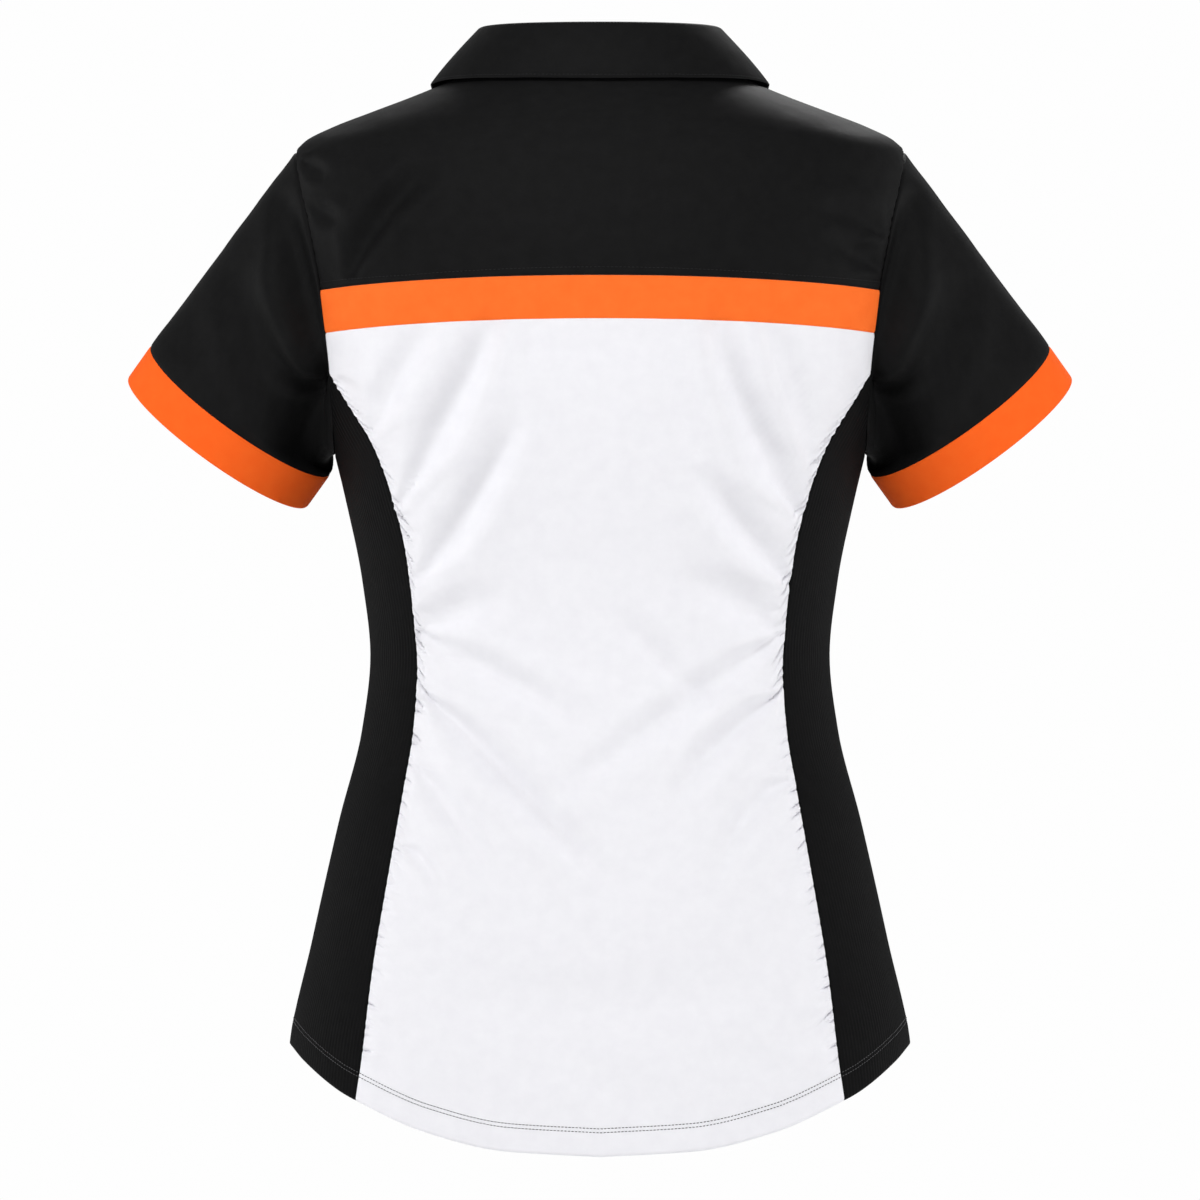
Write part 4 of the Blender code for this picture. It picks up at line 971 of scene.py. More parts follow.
BACK_WIDE = 0.340  # each piece's grid is laid out over its rough width and height
BACK_TALL = 0.516
BACK_COLUMN = 0.0046
BACK_ROW = 0.00104
BACK_SEAM_LONG = 0.56
BACK_GATHERS_END = 0.462
edge = back_edge()
corner = float(edge(np.array(0.0))[0])
tail = even(hem(corner, np.pi - corner))
inside = patch(tail, even(band_line(BAND_BOTTOM, -HALF)), edge, mirrored(edge))
across = grid_lines(BACK_WIDE, BACK_COLUMN, GATHER_LINES, GATHER_LINES)
up = grid_lines(BACK_TALL, BACK_ROW, HEM_LINES, SEAM_LINES)
back, places = on_form(inside, across, up)
turn_up_hem(back)
for away, seed in ((back.left, 11), (back.right, 23)):
    gather_edge(back, away, seed, BACK_SEAM_LONG, BACK_GATHERS_END)
back.draw_in((back.left, back.right, back.high))
make_piece("back_panel", back, uv=cloth_map(places, np.pi / 2))

# %% [markdown]
# ## The orange band and the black yoke
#
# The band is a narrow strip between the white back and the yoke. The yoke runs from the band over the
# shoulders to a seam a little way down the front, so no seam shows on top of the shoulder. The yoke is
# stitched along its lower edge, which draws up a line of tiny puckers.

# %% Band and yoke
BAND_WIDE = 0.352
BAND_TALL = 0.027
BAND_COLUMN = 0.0036
BAND_ROW = 0.0020
low = armhole_turn(band_ends(BAND_BOTTOM)[1] + HALF, 1)
high = armhole_turn(band_ends(BAND_TOP)[1] - HALF, 1)
edge = armhole_piece(low, high)
inside = patch(
    even(band_line(BAND_BOTTOM, HALF)), even(band_line(BAND_TOP, -HALF)), edge, mirrored(edge)
)
across = grid_lines(BAND_WIDE, BAND_COLUMN, SEAM_LINES, SEAM_LINES)
up = grid_lines(BAND_TALL, BAND_ROW, SEAM_LINES, SEAM_LINES)
band, places = on_form(inside, across, up)
band.draw_in((band.left, band.right, band.low, band.high))
make_piece("back_band", band, uv=cloth_map(places, np.pi / 2))

COLUMNS_SHOULDER = 4
COLUMNS_NECK_BACK = 12
COLUMNS_NECK_FRONT = 3
YOKE_WIDE = 0.380
YOKE_TALL = 0.180
YOKE_COLUMN = 0.0030
YOKE_ROW = 0.0025
YOKE_LINES = (*SEAM_LINES, 0.0040, 0.0054, 0.0070, 0.0088)
YOKE_STITCH_IN = 0.0050
YOKE_GROOVE = 0.00015
YOKE_GROOVE_REACH = 0.0006
PUCKER_DEEP = 0.00055
PUCKER_HALF = (0.0011, 0.0016)
PUCKERS_LONG = 0.40
ARM_PUCKER_DEEP = 0.0008
ARM_PUCKER_HALF = (0.0013, 0.0018)
ARM_PUCKERS_LONG = 0.16
ARMHOLE_DIP = 0.0021
ARMHOLE_DIP_REACH = 0.0012
arm, collar = shoulder_ends()
edge = armhole_piece(armhole_turn(band_ends(BAND_TOP)[1] + HALF, 1), arm)
left_seam = even(shoulder_seam(HALF))
top = joined(
    (left_seam, neck_piece(collar, np.pi - collar), mirrored(reverse(left_seam))),
    (COLUMNS_SHOULDER, COLUMNS_NECK_BACK, COLUMNS_SHOULDER),
)
inside = patch(even(band_line(BAND_TOP, HALF)), top, edge, mirrored(edge), reach=4)
across = grid_lines(YOKE_WIDE, YOKE_COLUMN, SEAM_LINES, SEAM_LINES)
up = grid_lines(YOKE_TALL, YOKE_ROW, YOKE_LINES, SEAM_LINES)
yoke, places = on_form(inside, across, up)
yoke.lift = yoke.lift + gathers(yoke.left, yoke.low, 31, PUCKERS_LONG, PUCKER_DEEP, PUCKER_HALF)
yoke.draw_in((yoke.low - YOKE_STITCH_IN,), YOKE_GROOVE, YOKE_GROOVE_REACH)
for away, seed in ((yoke.left, 61), (yoke.right, 67)):
    yoke.lift = yoke.lift + gathers(yoke.low, away, seed, ARM_PUCKERS_LONG, ARM_PUCKER_DEEP, ARM_PUCKER_HALF)
    yoke.draw_in((away,), ARMHOLE_DIP, ARMHOLE_DIP_REACH)
yoke.draw_in((yoke.low, yoke.high))
make_piece("back_yoke", yoke, uv=cloth_map(places, np.pi / 2))

# %% [markdown]
# ## Side panels and fronts
#
# The side panels are a ribbed black knit that lets the shirt fit closely. Each rib is shaped, with five
# grid lines to a rib, and the ribs run straight up the cloth while the panel narrows at the waist and cuts
# across them. The two fronts are white and meet under the placket. The photo doesn't show them, so they are
# plain.

# %% Ribbed side panels
RIB_PITCH = 0.0026
RIB_HEIGHT = 0.00030
RIBS_FLATTEN = 0.6  # share of their height that the hem's fold takes away
RIBS_FLATTEN_REACH = 0.002
PANEL_WIDE = 0.170
PANEL_TALL = 0.452
PANEL_COLUMN = 0.00050
PANEL_ROW = 0.0070
PANEL_HEM_LINES = (*HEM_LINES, 0.0060, 0.0110, 0.0142, 0.0150, 0.0162, 0.0174, 0.0190)


def side_panel(flip, centre):
    """The cloth under one arm, between its front and back seams."""
    back_side = even(side_seam(1, HALF))
    front_side = even(side_seam(-1, HALF))
    top_turns = seam_meets_armhole(-1, HALF) - 2 * np.pi, seam_meets_armhole(1, HALF)
    bottom = even(hem(float(front_side(np.array(0.0))[0]), float(back_side(np.array(0.0))[0])))
    inside = patch(flip(bottom), flip(armhole_piece(*top_turns)), flip(front_side), flip(back_side))
    across = grid_lines(PANEL_WIDE, PANEL_COLUMN, (PANEL_COLUMN,), (PANEL_COLUMN,))
    up = grid_lines(PANEL_TALL, PANEL_ROW, PANEL_HEM_LINES, SEAM_LINES)
    cloth, places = on_form(inside, across, up)
    turn_up_hem(cloth)
    uv = cloth_map(places, centre)
    ribs = 0.5 + 0.5 * np.cos(2 * np.pi * uv[..., 0] / RIB_PITCH)
    fade = 1 - dip(cloth.low, RIBS_FLATTEN, RIBS_FLATTEN_REACH)
    cloth.lift = cloth.lift + RIB_HEIGHT * (ribs - 1) * fade
    cloth.draw_in((cloth.left, cloth.right, cloth.high))
    return cloth, uv


def same(path):
    return path


side_left, uv = side_panel(same, 0.0)
make_piece("side_panel_left", side_left, uv=uv)
side_right, uv = side_panel(mirrored, np.pi)
make_piece("side_panel_right", side_right, uv=uv)

# %% Fronts
FALL_OPEN = 0.0100
FRONT_WIDE = 0.190
FRONT_TALL = 0.640
FRONT_COLUMN = 0.0048
FRONT_ROW = 0.0015
FRONT_SEAM_LONG = 0.70
FRONT_GATHERS_END = 0.440
FRONT_GATHER_HALF = (0.0011, 0.0016)
fall_end = -np.pi / 2 + np.arcsin(FALL_OPEN / NECK_HALF)
arm, collar = shoulder_ends()
outer = joined(
    (even(side_seam(-1, -HALF)), armhole_piece(seam_meets_armhole(-1, -HALF), arm)),
    (ROWS_SIDE, ROWS_ARM_FRONT),
)
middle = -np.pi / 2 + HALF / float(column(FORM, FORM_COLUMNS, "half_width", SIDE_SEAM_TOP))
front_top = joined(
    (even(shoulder_seam(-HALF)), neck_piece(collar, fall_end), neck_piece(fall_end, middle)),
    (COLUMNS_SHOULDER, COLUMNS_NECK_FRONT, 1),
)
front_hem = even(hem(float(outer(np.array(0.0))[0]), middle))
inner_low = front_hem(np.array(1.0))
inner_high = front_top(np.array(1.0))


def front_edge(t):
    """The edge down the middle of the front, from hem to neck."""
    t = np.asarray(t, dtype=float)[..., None]
    return inner_low * (1 - t) + inner_high * t


def front(flip, seed):
    """One front, from its side seam to the middle."""
    inside = patch(flip(front_hem), flip(front_top), flip(outer), flip(front_edge), reach=2)
    across = grid_lines(FRONT_WIDE, FRONT_COLUMN, GATHER_LINES, SEAM_LINES)
    up = grid_lines(FRONT_TALL, FRONT_ROW, HEM_LINES, SEAM_LINES)
    cloth, places = on_form(inside, across, up)
    turn_up_hem(cloth)
    gather_edge(cloth, cloth.left, seed, FRONT_SEAM_LONG, FRONT_GATHERS_END, FRONT_GATHER_HALF)
    cloth.draw_in((cloth.left, cloth.high))
    return cloth, cloth_map(places, -np.pi / 2)


front_left, uv = front(same, 41)
make_piece("front_left", front_left, uv=uv)
front_right, uv = front(mirrored, 53)
make_piece("front_right", front_right, uv=uv)

# %% [markdown]
# ## Placket
#
# The placket is a folded strip down the middle of the front, with the buttonholes in it. It lies on the two
# fronts, a little proud of them, and is stitched down along both edges.

# %% The folded strip
PLACKET_HALF = 0.0150
PLACKET_CLEAR = 0.0007
PLACKET_BELOW_NECK = 0.0004
PLACKET_TALL = 0.606
PLACKET_COLUMN = 0.0020
PLACKET_ROW = 0.0030
PLACKET_LINES = (0.0004, 0.0009, 0.0016, 0.0024, 0.0033)
PLACKET_THICKER = 0.0006
PLACKET_STITCH_IN = 0.0024
PLACKET_GROOVE = 0.00016
PLACKET_GROOVE_REACH = 0.0005
EDGE_FOLD = 0.0004  # how far the cloth rounds off at a folded edge
EDGE_FOLD_REACH = 0.0006


def placket_place(x, share):
    """A place on the front at distance x from the middle and a share of the way from hem to neck."""
    middle = -np.pi / 2
    far_side = -np.pi / 3
    neck_places = neck(np.linspace(middle, far_side, 40))
    neck_x = form_point(neck_places[:, 0], neck_places[:, 1])[:, 0]
    high = np.interp(np.abs(x), neck_x, neck_places[:, 1]) - PLACKET_BELOW_NECK
    hem_places = hem(middle, far_side)(np.linspace(0.0, 1.0, 40))
    hem_x = form_point(hem_places[:, 0], hem_places[:, 1])[:, 0]
    low = np.interp(np.abs(x), hem_x, hem_places[:, 1])
    level = low + (high - low) * share
    return np.stack((angle_at_x(x, level, -1), level), axis=-1)


across = grid_lines(2 * PLACKET_HALF, PLACKET_COLUMN, PLACKET_LINES, PLACKET_LINES)
up = grid_lines(PLACKET_TALL, PLACKET_ROW, HEM_LINES, SEAM_LINES)
placket, places = on_form(lambda u, v: placket_place(PLACKET_HALF * (2 * u - 1), v), across, up)
placket.lift = placket.lift + WALL + PLACKET_CLEAR
placket.wall = placket.wall + PLACKET_THICKER
for distance in (placket.left, placket.right):
    placket.draw_in((distance,), EDGE_FOLD, EDGE_FOLD_REACH)
    placket.draw_in((distance - PLACKET_STITCH_IN,), PLACKET_GROOVE, PLACKET_GROOVE_REACH)
make_piece(
    "front_placket", placket,
    uv=cloth_map(places, -np.pi / 2),
)

# %% [markdown]
# ## Collar
#
# A shirt collar has two parts. The stand is a low band round the neck, and the fall turns over it and hangs
# down to a pointed edge at the front. Both are double cloth. The fall's inner face rolls over the top of
# the stand and then runs down to an edge that rests close to the yoke. It is stitched 2 mm inside its edge.

# %% Stand and fall
STAND_HEIGHT_BACK = 0.0256
STAND_HEIGHT_FRONT = 0.0240
STAND_LEAN = 0.0035
STAND_SEAM = 0.0003
FALL_BOW = 0.0022
FALL_CLEAR = 0.0022
FALL_STITCH_IN = 0.0022
FALL_GROOVE = 0.00018
FALL_GROOVE_REACH = 0.0006
FALL_LINES = (0.0006, 0.0014, 0.0022, 0.0032)
FALL_ROUND = 0.46
FALL_DEEP = 0.040
FALL_COLUMN = 0.0022
FALL_ROW = 0.0016
ROLL_ROWS = 12
STAND_TURNS = 160
STAND_LINES = (0.0006,)
STAND_ROW = 0.0020
COLLAR_THICKER = 0.0003
FALL_COLUMNS = ("share", "x", "y")
FALL_ROLL_COLUMNS = ("share", "out", "up")
FALL_ROLL = np.array((
    (0.00, 0.0000, 0.0003),
    (0.20, 0.0010, 0.0010),
    (0.40, 0.0022, 0.0004),
    (1.00, 0.0022, 0.0004),
))
FALL_EDGE = np.array((
    (0.00, 0.0000, 0.0705),
    (0.15, 0.0480, 0.0640),
    (0.30, 0.0860, 0.0420),
    (0.45, 0.1050, 0.0000),
    (0.62, 0.1030, -0.0400),
    (0.80, 0.0850, -0.0740),
    (1.00, 0.0620, -0.0970),
))


def stand_frame(turn):
    """Neck seam points, the way out from the neck, and the stand's height there."""
    places = neck(turn)
    points = form_point(places[..., 0], places[..., 1])
    c = np.cos(turn)
    s = np.sin(turn)
    outward = unit(np.stack((c / NECK_HALF, s / np.where(s >= 0, NECK_BACK, NECK_FRONT), 0 * c), axis=-1))
    front_share = smoothstep(np.clip(-s, 0.0, 1.0))
    height = STAND_HEIGHT_BACK + (STAND_HEIGHT_FRONT - STAND_HEIGHT_BACK) * front_share
    return points, outward, height


def upward(height):
    return np.stack((0 * height, 0 * height, height), axis=-1)


def stand_points(turn, v):
    """The stand's inner face: it starts inside the neck seam and leans in a little as it rises."""
    points, outward, height = stand_frame(turn)
    inset = WALL + STAND_SEAM + STAND_LEAN * v
    return points - outward * inset[..., None] + upward(height * v), outward


def fall_points(turn, v):
    """The fall's inner face: over the stand's top, then down to an edge that rests near the shirt."""
    points, outward, height = stand_frame(turn)
    corner = points - outward * (STAND_LEAN + STAND_SEAM + WALL) + upward(height)
    roll_out = column(FALL_ROLL, FALL_ROLL_COLUMNS, "out", v)[..., None]
    roll_up = column(FALL_ROLL, FALL_ROLL_COLUMNS, "up", v)
    top = corner + outward * roll_out + upward(roll_up)
    u = np.interp(turn, fall_stations, np.linspace(0.0, 1.0, len(fall_stations)))
    share = np.abs(2 * u - 1)
    x = column(FALL_EDGE, FALL_COLUMNS, "x", share) * np.sign(1 - 2 * u)
    # across the back, up to the table's second row, the edge is one flat arc
    straight = FALL_EDGE[0, 2] + (FALL_EDGE[1, 2] - FALL_EDGE[0, 2]) * (share / FALL_EDGE[1, 0]) ** 2
    y = np.where(share < FALL_EDGE[1, 0], straight, column(FALL_EDGE, FALL_COLUMNS, "y", share))
    level, angle = level_under(x, np.where(np.abs(y) < 1e-9, 1e-9, y))
    low = form_point(angle, level) + form_normal(angle, level) * (WALL + FALL_CLEAR)
    roll_end = FALL_ROLL[-2, 0]
    t = (np.clip(v - roll_end, 0.0, 1.0) / (1 - roll_end))[..., None]
    return top * (1 - t) + low * t + outward * FALL_BOW * 4 * t * (1 - t)


def even_neck_turns(first, last, count):
    """Evenly spaced turns along the neck seam."""
    return even_turns(neck, first, last)(np.arange(count) / count)


fall_stations = np.concatenate((
    even_neck_turns(fall_end, collar, COLUMNS_NECK_FRONT),
    even_neck_turns(collar, np.pi - collar, COLUMNS_NECK_BACK),
    even_neck_turns(np.pi - collar, np.pi - fall_end, COLUMNS_NECK_FRONT),
    (np.pi - fall_end,),
))


def grid_normals(points, towards):
    """The way off a grid of points, on the side that towards points to."""
    along = np.gradient(points, axis=1)
    up = np.gradient(points, axis=0)
    normal = unit(np.cross(along, up))
    side = np.sign((normal * towards).sum(axis=-1, keepdims=True))
    return normal * side


turns = np.append(even_neck_turns(-np.pi / 2, 1.5 * np.pi, STAND_TURNS), 1.5 * np.pi)
turn, v = np.meshgrid(turns, grid_lines(STAND_HEIGHT_BACK, STAND_ROW, STAND_LINES, STAND_LINES))
stand = Cloth(*stand_points(turn, v))
stand.wall = stand.wall + COLLAR_THICKER
make_piece("collar_stand", stand, closed=True)

shares_round = grid_lines(FALL_ROUND, FALL_COLUMN, FALL_LINES, FALL_LINES)
turns = np.interp(shares_round, np.linspace(0.0, 1.0, len(fall_stations)), fall_stations)
roll_end = FALL_ROLL[-2, 0]
below_roll = grid_lines(FALL_DEEP, FALL_ROW, (), FALL_LINES)[1:]
rows_down = np.concatenate((np.linspace(0.0, roll_end, ROLL_ROWS), roll_end + (1 - roll_end) * below_roll))
turn, v = np.meshgrid(turns, rows_down)
points = fall_points(turn, v)
out = grid_normals(points, stand_frame(turn)[1] + np.array((0.0, 0.0, 2.0)))
fall = Cloth(points, out)
fall.wall = fall.wall + COLLAR_THICKER
for distance in (fall.left, fall.right, fall.high):
    fall.draw_in((distance,), EDGE_FOLD, EDGE_FOLD_REACH)
    fall.draw_in((distance - FALL_STITCH_IN,), FALL_GROOVE, FALL_GROOVE_REACH)
make_piece("collar_fall", fall)

# %% [markdown]
# ## Sleeves
#
# A short sleeve is a tube that starts at the armhole and ends in a wide cuff. It leaves the armhole over
# the shoulder, turns down, and arrives straight at its orange band. The soft roll behind the armhole is
# part of how such a sleeve hangs, so it is shaped in with creases of its own.

# %% Sizes of the sleeves and their creases
CUFF_MID_X = 0.2423
CUFF_MID_Z = -0.2275
CUFF_RISE = 36.25
CUFF_HALF_LONG = 0.0688
CUFF_HALF_DEEP = 0.0500
CUFF_REACH = 0.1060
SLEEVE_FORWARD = 15.0
SLEEVE_BAND = 0.0252
SLEEVE_TUCK = 0.0003  # how far its edge goes in under the armhole's
UNDERARM_TUCK = 0.0026  # and how much farther where it leaves square to the body
SLEEVE_SETTLES = 0.15
SLEEVE_TWIST = 0.30
SLEEVE_OVER = 0.60
SLEEVE_OVER_FROM = -0.3
SLEEVE_LEAVES = 0.050
SLEEVE_ARRIVES = 0.110
SLEEVE_MOST = 0.9
SLEEVE_LONG = 0.190
SLEEVE_ROW = 0.0030
SLEEVE_TURNS = 150
CREASES_FREE_OF_SEAM = 0.10
CREASES_FREE_OF_BAND = 0.12
CUFF_ROW = 0.0024
CUFF_EDGE_LINES = (0.0003, 0.0008, 0.0015)
CUFF_THICKER = 0.0004
CUFF_DIP = 0.0004
CUFF_FOLD = 0.0003
CUFF_FOLD_REACH = 0.0005
SLEEVE_CREASES = np.array((
    # wearer's left: the dark trough beside the armhole, and the bright roll next to it
    (0.1985, -0.0780, 0.1912, -0.1120, 0.1752, -0.1780, 0.0068, 0.0070, 1.0, 0.40, 0.50, 0.20),
    (0.2060, -0.1020, 0.2050, -0.1440, 0.1840, -0.1790, 0.0085, -0.0062, 1.0, 0.20, 0.50, 0.00),
    (0.2330, -0.1150, 0.2200, -0.1600, 0.2010, -0.2000, 0.0110, 0.0046, 1.0, 0.10, 0.50, 0.30),
    (0.2450, -0.1200, 0.2550, -0.1500, 0.2600, -0.1800, 0.0140, 0.0026, 1.0, 0.20, 0.10, 0.20),
    # the fold that draws in under the arm, and the deep hollow below it
    (0.1700, -0.1905, 0.1880, -0.1920, 0.2070, -0.1700, 0.0048, 0.0050, 0.4, 0.60, 0.10, 0.50),
    (0.1690, -0.1960, 0.1810, -0.2140, 0.1820, -0.2480, 0.0165, 0.0190, 1.0, 0.90, 0.60, 0.10),
    # wearer's right
    (-0.1950, -0.0780, -0.1875, -0.1160, -0.1716, -0.1760, 0.0068, 0.0070, 1.0, 0.40, 0.50, 0.20),
    (-0.2030, -0.1050, -0.2010, -0.1470, -0.1810, -0.1820, 0.0085, -0.0058, 1.0, 0.20, 0.50, 0.00),
    (-0.2300, -0.1200, -0.2170, -0.1650, -0.1980, -0.2000, 0.0110, 0.0042, 1.0, 0.10, 0.50, 0.30),
    (-0.2400, -0.1160, -0.2520, -0.1450, -0.2560, -0.1780, 0.0140, 0.0026, 1.0, 0.20, 0.10, 0.20),
    (-0.1690, -0.1925, -0.1860, -0.1950, -0.2040, -0.1760, 0.0048, 0.0046, 0.4, 0.60, 0.10, 0.50),
    (-0.1690, -0.1980, -0.1810, -0.2160, -0.1820, -0.2480, 0.0165, 0.0190, 1.0, 0.90, 0.60, 0.10),
))


# %% The sleeve's tube and its band
def sleeve_axes(side):
    """The opening's long and deep directions and the way the sleeve points, for one side."""
    rise = np.radians(CUFF_RISE)
    forward = np.radians(SLEEVE_FORWARD)
    long_way = np.array((np.cos(rise) * side, 0.0, np.sin(rise)))
    down = np.array((np.sin(rise) * side, 0.0, -np.cos(rise)))
    points_to = down * np.cos(forward) - np.array((0.0, np.sin(forward), 0.0))
    deep_way = down * np.sin(forward) + np.array((0.0, np.cos(forward), 0.0))
    return long_way, deep_way, points_to


def cuff_ring(turn, side, back_from_end):
    """A ring of the sleeve near its end. Turn is the armhole's turn; the top is a quarter turn."""
    long_way, deep_way, points_to = sleeve_axes(side)
    turn = turn + SLEEVE_TWIST * (1 - np.sin(turn)) / 2
    lean = np.tan(np.radians(SLEEVE_FORWARD)) * CUFF_REACH
    end = np.array((CUFF_MID_X * side, -lean, CUFF_MID_Z))
    middle = end - points_to * np.asarray(back_from_end)[..., None]
    long_part = long_way * np.sin(turn)[..., None]
    deep_part = deep_way * np.cos(turn)[..., None]
    ring = long_part * CUFF_HALF_LONG + deep_part * CUFF_HALF_DEEP
    outward = unit(long_part / CUFF_HALF_LONG + deep_part / CUFF_HALF_DEEP)
    return middle + ring, outward


def armhole_frame(turn, side):
    """Armhole points on the form, the way along them, out of them over the cloth, and off the form."""
    step = 0.01
    mirror = np.array((side, 1.0, 1.0))
    here = armhole(turn)
    points, outward = form_point(here[..., 0], here[..., 1]), form_normal(here[..., 0], here[..., 1])
    after = form_point(*np.moveaxis(armhole(turn + step), -1, 0))
    before = form_point(*np.moveaxis(armhole(turn - step), -1, 0))
    along = unit(after - before)
    leave = np.cross(outward, along)
    return points * mirror, along * mirror, leave * mirror, outward * mirror


def sleeve_points(turn, v, side):
    """The sleeve's inner face: from the armhole, curving over, to run straight into its band."""
    points_to = sleeve_axes(side)[2]
    end, ring_out = cuff_ring(turn, side, SLEEVE_BAND + SEAM)
    points, along, leave, off_form = armhole_frame(turn, side)
    over = smoothstep((np.sin(turn) - SLEEVE_OVER_FROM) / (1 - SLEEVE_OVER_FROM))[..., None] * SLEEVE_OVER
    way = unit(leave * over + points_to * (1 - over))
    off_sleeve = unit(np.cross(along, way))
    off_sleeve = off_sleeve * np.sign(np.sum(off_sleeve * ring_out, axis=-1, keepdims=True))
    bend = np.maximum(np.sum(way * off_form, axis=-1, keepdims=True), 0.0)
    start = points + (off_form - off_sleeve) * WALL - way * (SLEEVE_TUCK + UNDERARM_TUCK * bend)
    reach = np.linalg.norm(end - start, axis=-1)[..., None]
    leaves = way * np.minimum(SLEEVE_LEAVES, reach * SLEEVE_MOST)
    arrives = points_to * np.minimum(SLEEVE_ARRIVES, reach * SLEEVE_MOST)
    t = v[..., None]
    surface = (2 * t**3 - 3 * t**2 + 1) * start + (t**3 - 2 * t**2 + t) * leaves
    surface = surface + (3 * t**2 - 2 * t**3) * end + (t**3 - t**2) * arrives
    return surface, off_sleeve, ring_out


def even_ring(count):
    """Turns right round the armhole, evenly spaced along it."""
    first = seam_meets_armhole(-1, 0.0) - 2 * np.pi
    last = first + 2 * np.pi
    return np.append(even_turns(armhole, first, last)(np.arange(count) / count), last)


def sleeve(side):
    """A sleeve's tube, with its creases on the side that the photo shows."""
    up = grid_lines(SLEEVE_LONG, SLEEVE_ROW, SEAM_LINES, SEAM_LINES)
    turn, v = np.meshgrid(even_ring(SLEEVE_TURNS), up)
    points, off_start, ring_out = sleeve_points(turn, v, side)
    normal = grid_normals(points, off_start + ring_out)
    at_start = (1 - smoothstep(v / SLEEVE_SETTLES))[..., None]
    at_end = (1 - smoothstep((1 - v) / SLEEVE_SETTLES))[..., None]
    out = unit(normal * (1 - at_start - at_end) + off_start * at_start + ring_out * at_end)
    x, z = seen(points)
    ends = smoothstep(v / CREASES_FREE_OF_SEAM) * smoothstep((1 - v) / CREASES_FREE_OF_BAND)
    behind = smoothstep((out[..., 1] + 0.15) / 0.3)
    pressed = crease_depth(x, z, SLEEVE_CREASES) * ends * behind
    cloth = Cloth(points - out * pressed[..., None], out)
    cloth.draw_in((cloth.low,), ARMHOLE_DIP, ARMHOLE_DIP_REACH)
    cloth.draw_in((cloth.high,))
    return cloth


def sleeve_band(side):
    """The band at a sleeve's end, double cloth with a rounded fold at its open edge."""
    up = grid_lines(SLEEVE_BAND, CUFF_ROW, SEAM_LINES, CUFF_EDGE_LINES)
    turn, v = np.meshgrid(even_ring(SLEEVE_TURNS), up)
    cloth = Cloth(*cuff_ring(turn, side, SLEEVE_BAND * (1 - v)))
    cloth.wall = cloth.wall + CUFF_THICKER
    cloth.draw_in((cloth.low,), CUFF_DIP)
    cloth.draw_in((cloth.high,), CUFF_FOLD, CUFF_FOLD_REACH)
    return cloth


for name, side in (("left", 1.0), ("right", -1.0)):
    make_piece("sleeve_" + name, sleeve(side), closed=True)
    make_piece(
        "sleeve_band_" + name, sleeve_band(side),
        closed=True,
    )

# %% [markdown]
# ## Stitches
#
# The hem shows two close rows of grey stitches all the way round, dark on the white and light on the black.
# A line painted in the material would look flat up close, so each stitch is a small rounded bar of thread.
# They are laid at an even pitch along a line that is read off the finished grids.


# %% Lines across a piece, and stitches along a line
def line_across(cloth, run, distance, axis):
    """The line on a piece's outer face where the length from one of its edges is this distance."""
    face = cloth.face()
    if axis == 0:
        run = run.T
        face = face.transpose(1, 0, 2)
        out = cloth.out.transpose(1, 0, 2)
    else:
        out = cloth.out
    line = []
    ways = []
    for lengths_here, places_here, ways_here in zip(run, face, out):
        order = np.argsort(lengths_here)
        line.append([np.interp(distance, lengths_here[order], places_here[order, k]) for k in range(3)])
        ways.append([np.interp(distance, lengths_here[order], ways_here[order, k]) for k in range(3)])
    return np.array(line), unit(np.array(ways))


def stitches(name, lines, pitch, long, thick, seed=7):
    """Small rounded bars of thread at an even pitch along lines, each line with the way off its cloth."""
    random = np.random.default_rng(seed)
    shape = bmesh.new()
    for line, ways in lines:
        run = np.concatenate(((0.0,), np.cumsum(np.linalg.norm(np.diff(line, axis=0), axis=1))))
        places = np.arange(pitch / 2, run[-1], pitch)
        for place in places:
            here = np.array([np.interp(place, run, line[:, k]) for k in range(3)])
            ahead = np.array([np.interp(place + pitch / 2, run, line[:, k]) for k in range(3)])
            way = unit(np.array([np.interp(place, run, ways[:, k]) for k in range(3)]))
            along = ahead - here
            if np.linalg.norm(along) < 1e-7:
                continue
            along = unit(along - way * np.dot(along, way))
            across = np.cross(way, along)
            along = unit(along + across * random.normal(0.0, 0.05))
            across = np.cross(way, along)
            placed = np.eye(4)
            placed[:3, 0] = along * long
            placed[:3, 1] = across * thick
            placed[:3, 2] = way * thick
            placed[:3, 3] = here + way * thick * 0.18
            one = STITCH.copy()
            one.transform(Matrix(placed.tolist()))
            shape.from_mesh(one)
            bpy.data.meshes.remove(one)
    mesh = bpy.data.meshes.new(name)
    shape.to_mesh(mesh)
    shape.free()
    piece = bpy.data.objects.new(name, mesh)
    bpy.context.scene.collection.objects.link(piece)
    mesh.polygons.foreach_set("use_smooth", np.ones(len(mesh.polygons), dtype=bool))
    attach(piece, "root")
    print(f"{name}: {len(mesh.polygons)} faces")
    return piece


TURN_X = Matrix.Rotation(np.pi / 2, 4, "Y")  # the poles point along the stitch
shape = bmesh.new()
bmesh.ops.create_uvsphere(shape, u_segments=6, v_segments=3, radius=0.5, matrix=TURN_X)
STITCH = as_mesh(shape, "stitch")
hem_pieces = (back, side_left, side_right, front_left, front_right, placket)
rows = [line_across(cloth, cloth.low, row, 0) for cloth in hem_pieces for row in HEM_ROWS]
hem_stitches = stitches("hem_stitches", rows, 0.0022, 0.0018, 0.00058)
collar_rows = [
    line_across(fall, fall.high, FALL_STITCH_IN, 0),
    line_across(fall, fall.left, FALL_STITCH_IN, 1),
    line_across(fall, fall.right, FALL_STITCH_IN, 1),
    line_across(yoke, yoke.low, YOKE_STITCH_IN, 0),
]
black_stitches = stitches("black_stitches", collar_rows, 0.0026, 0.0021, 0.00036)
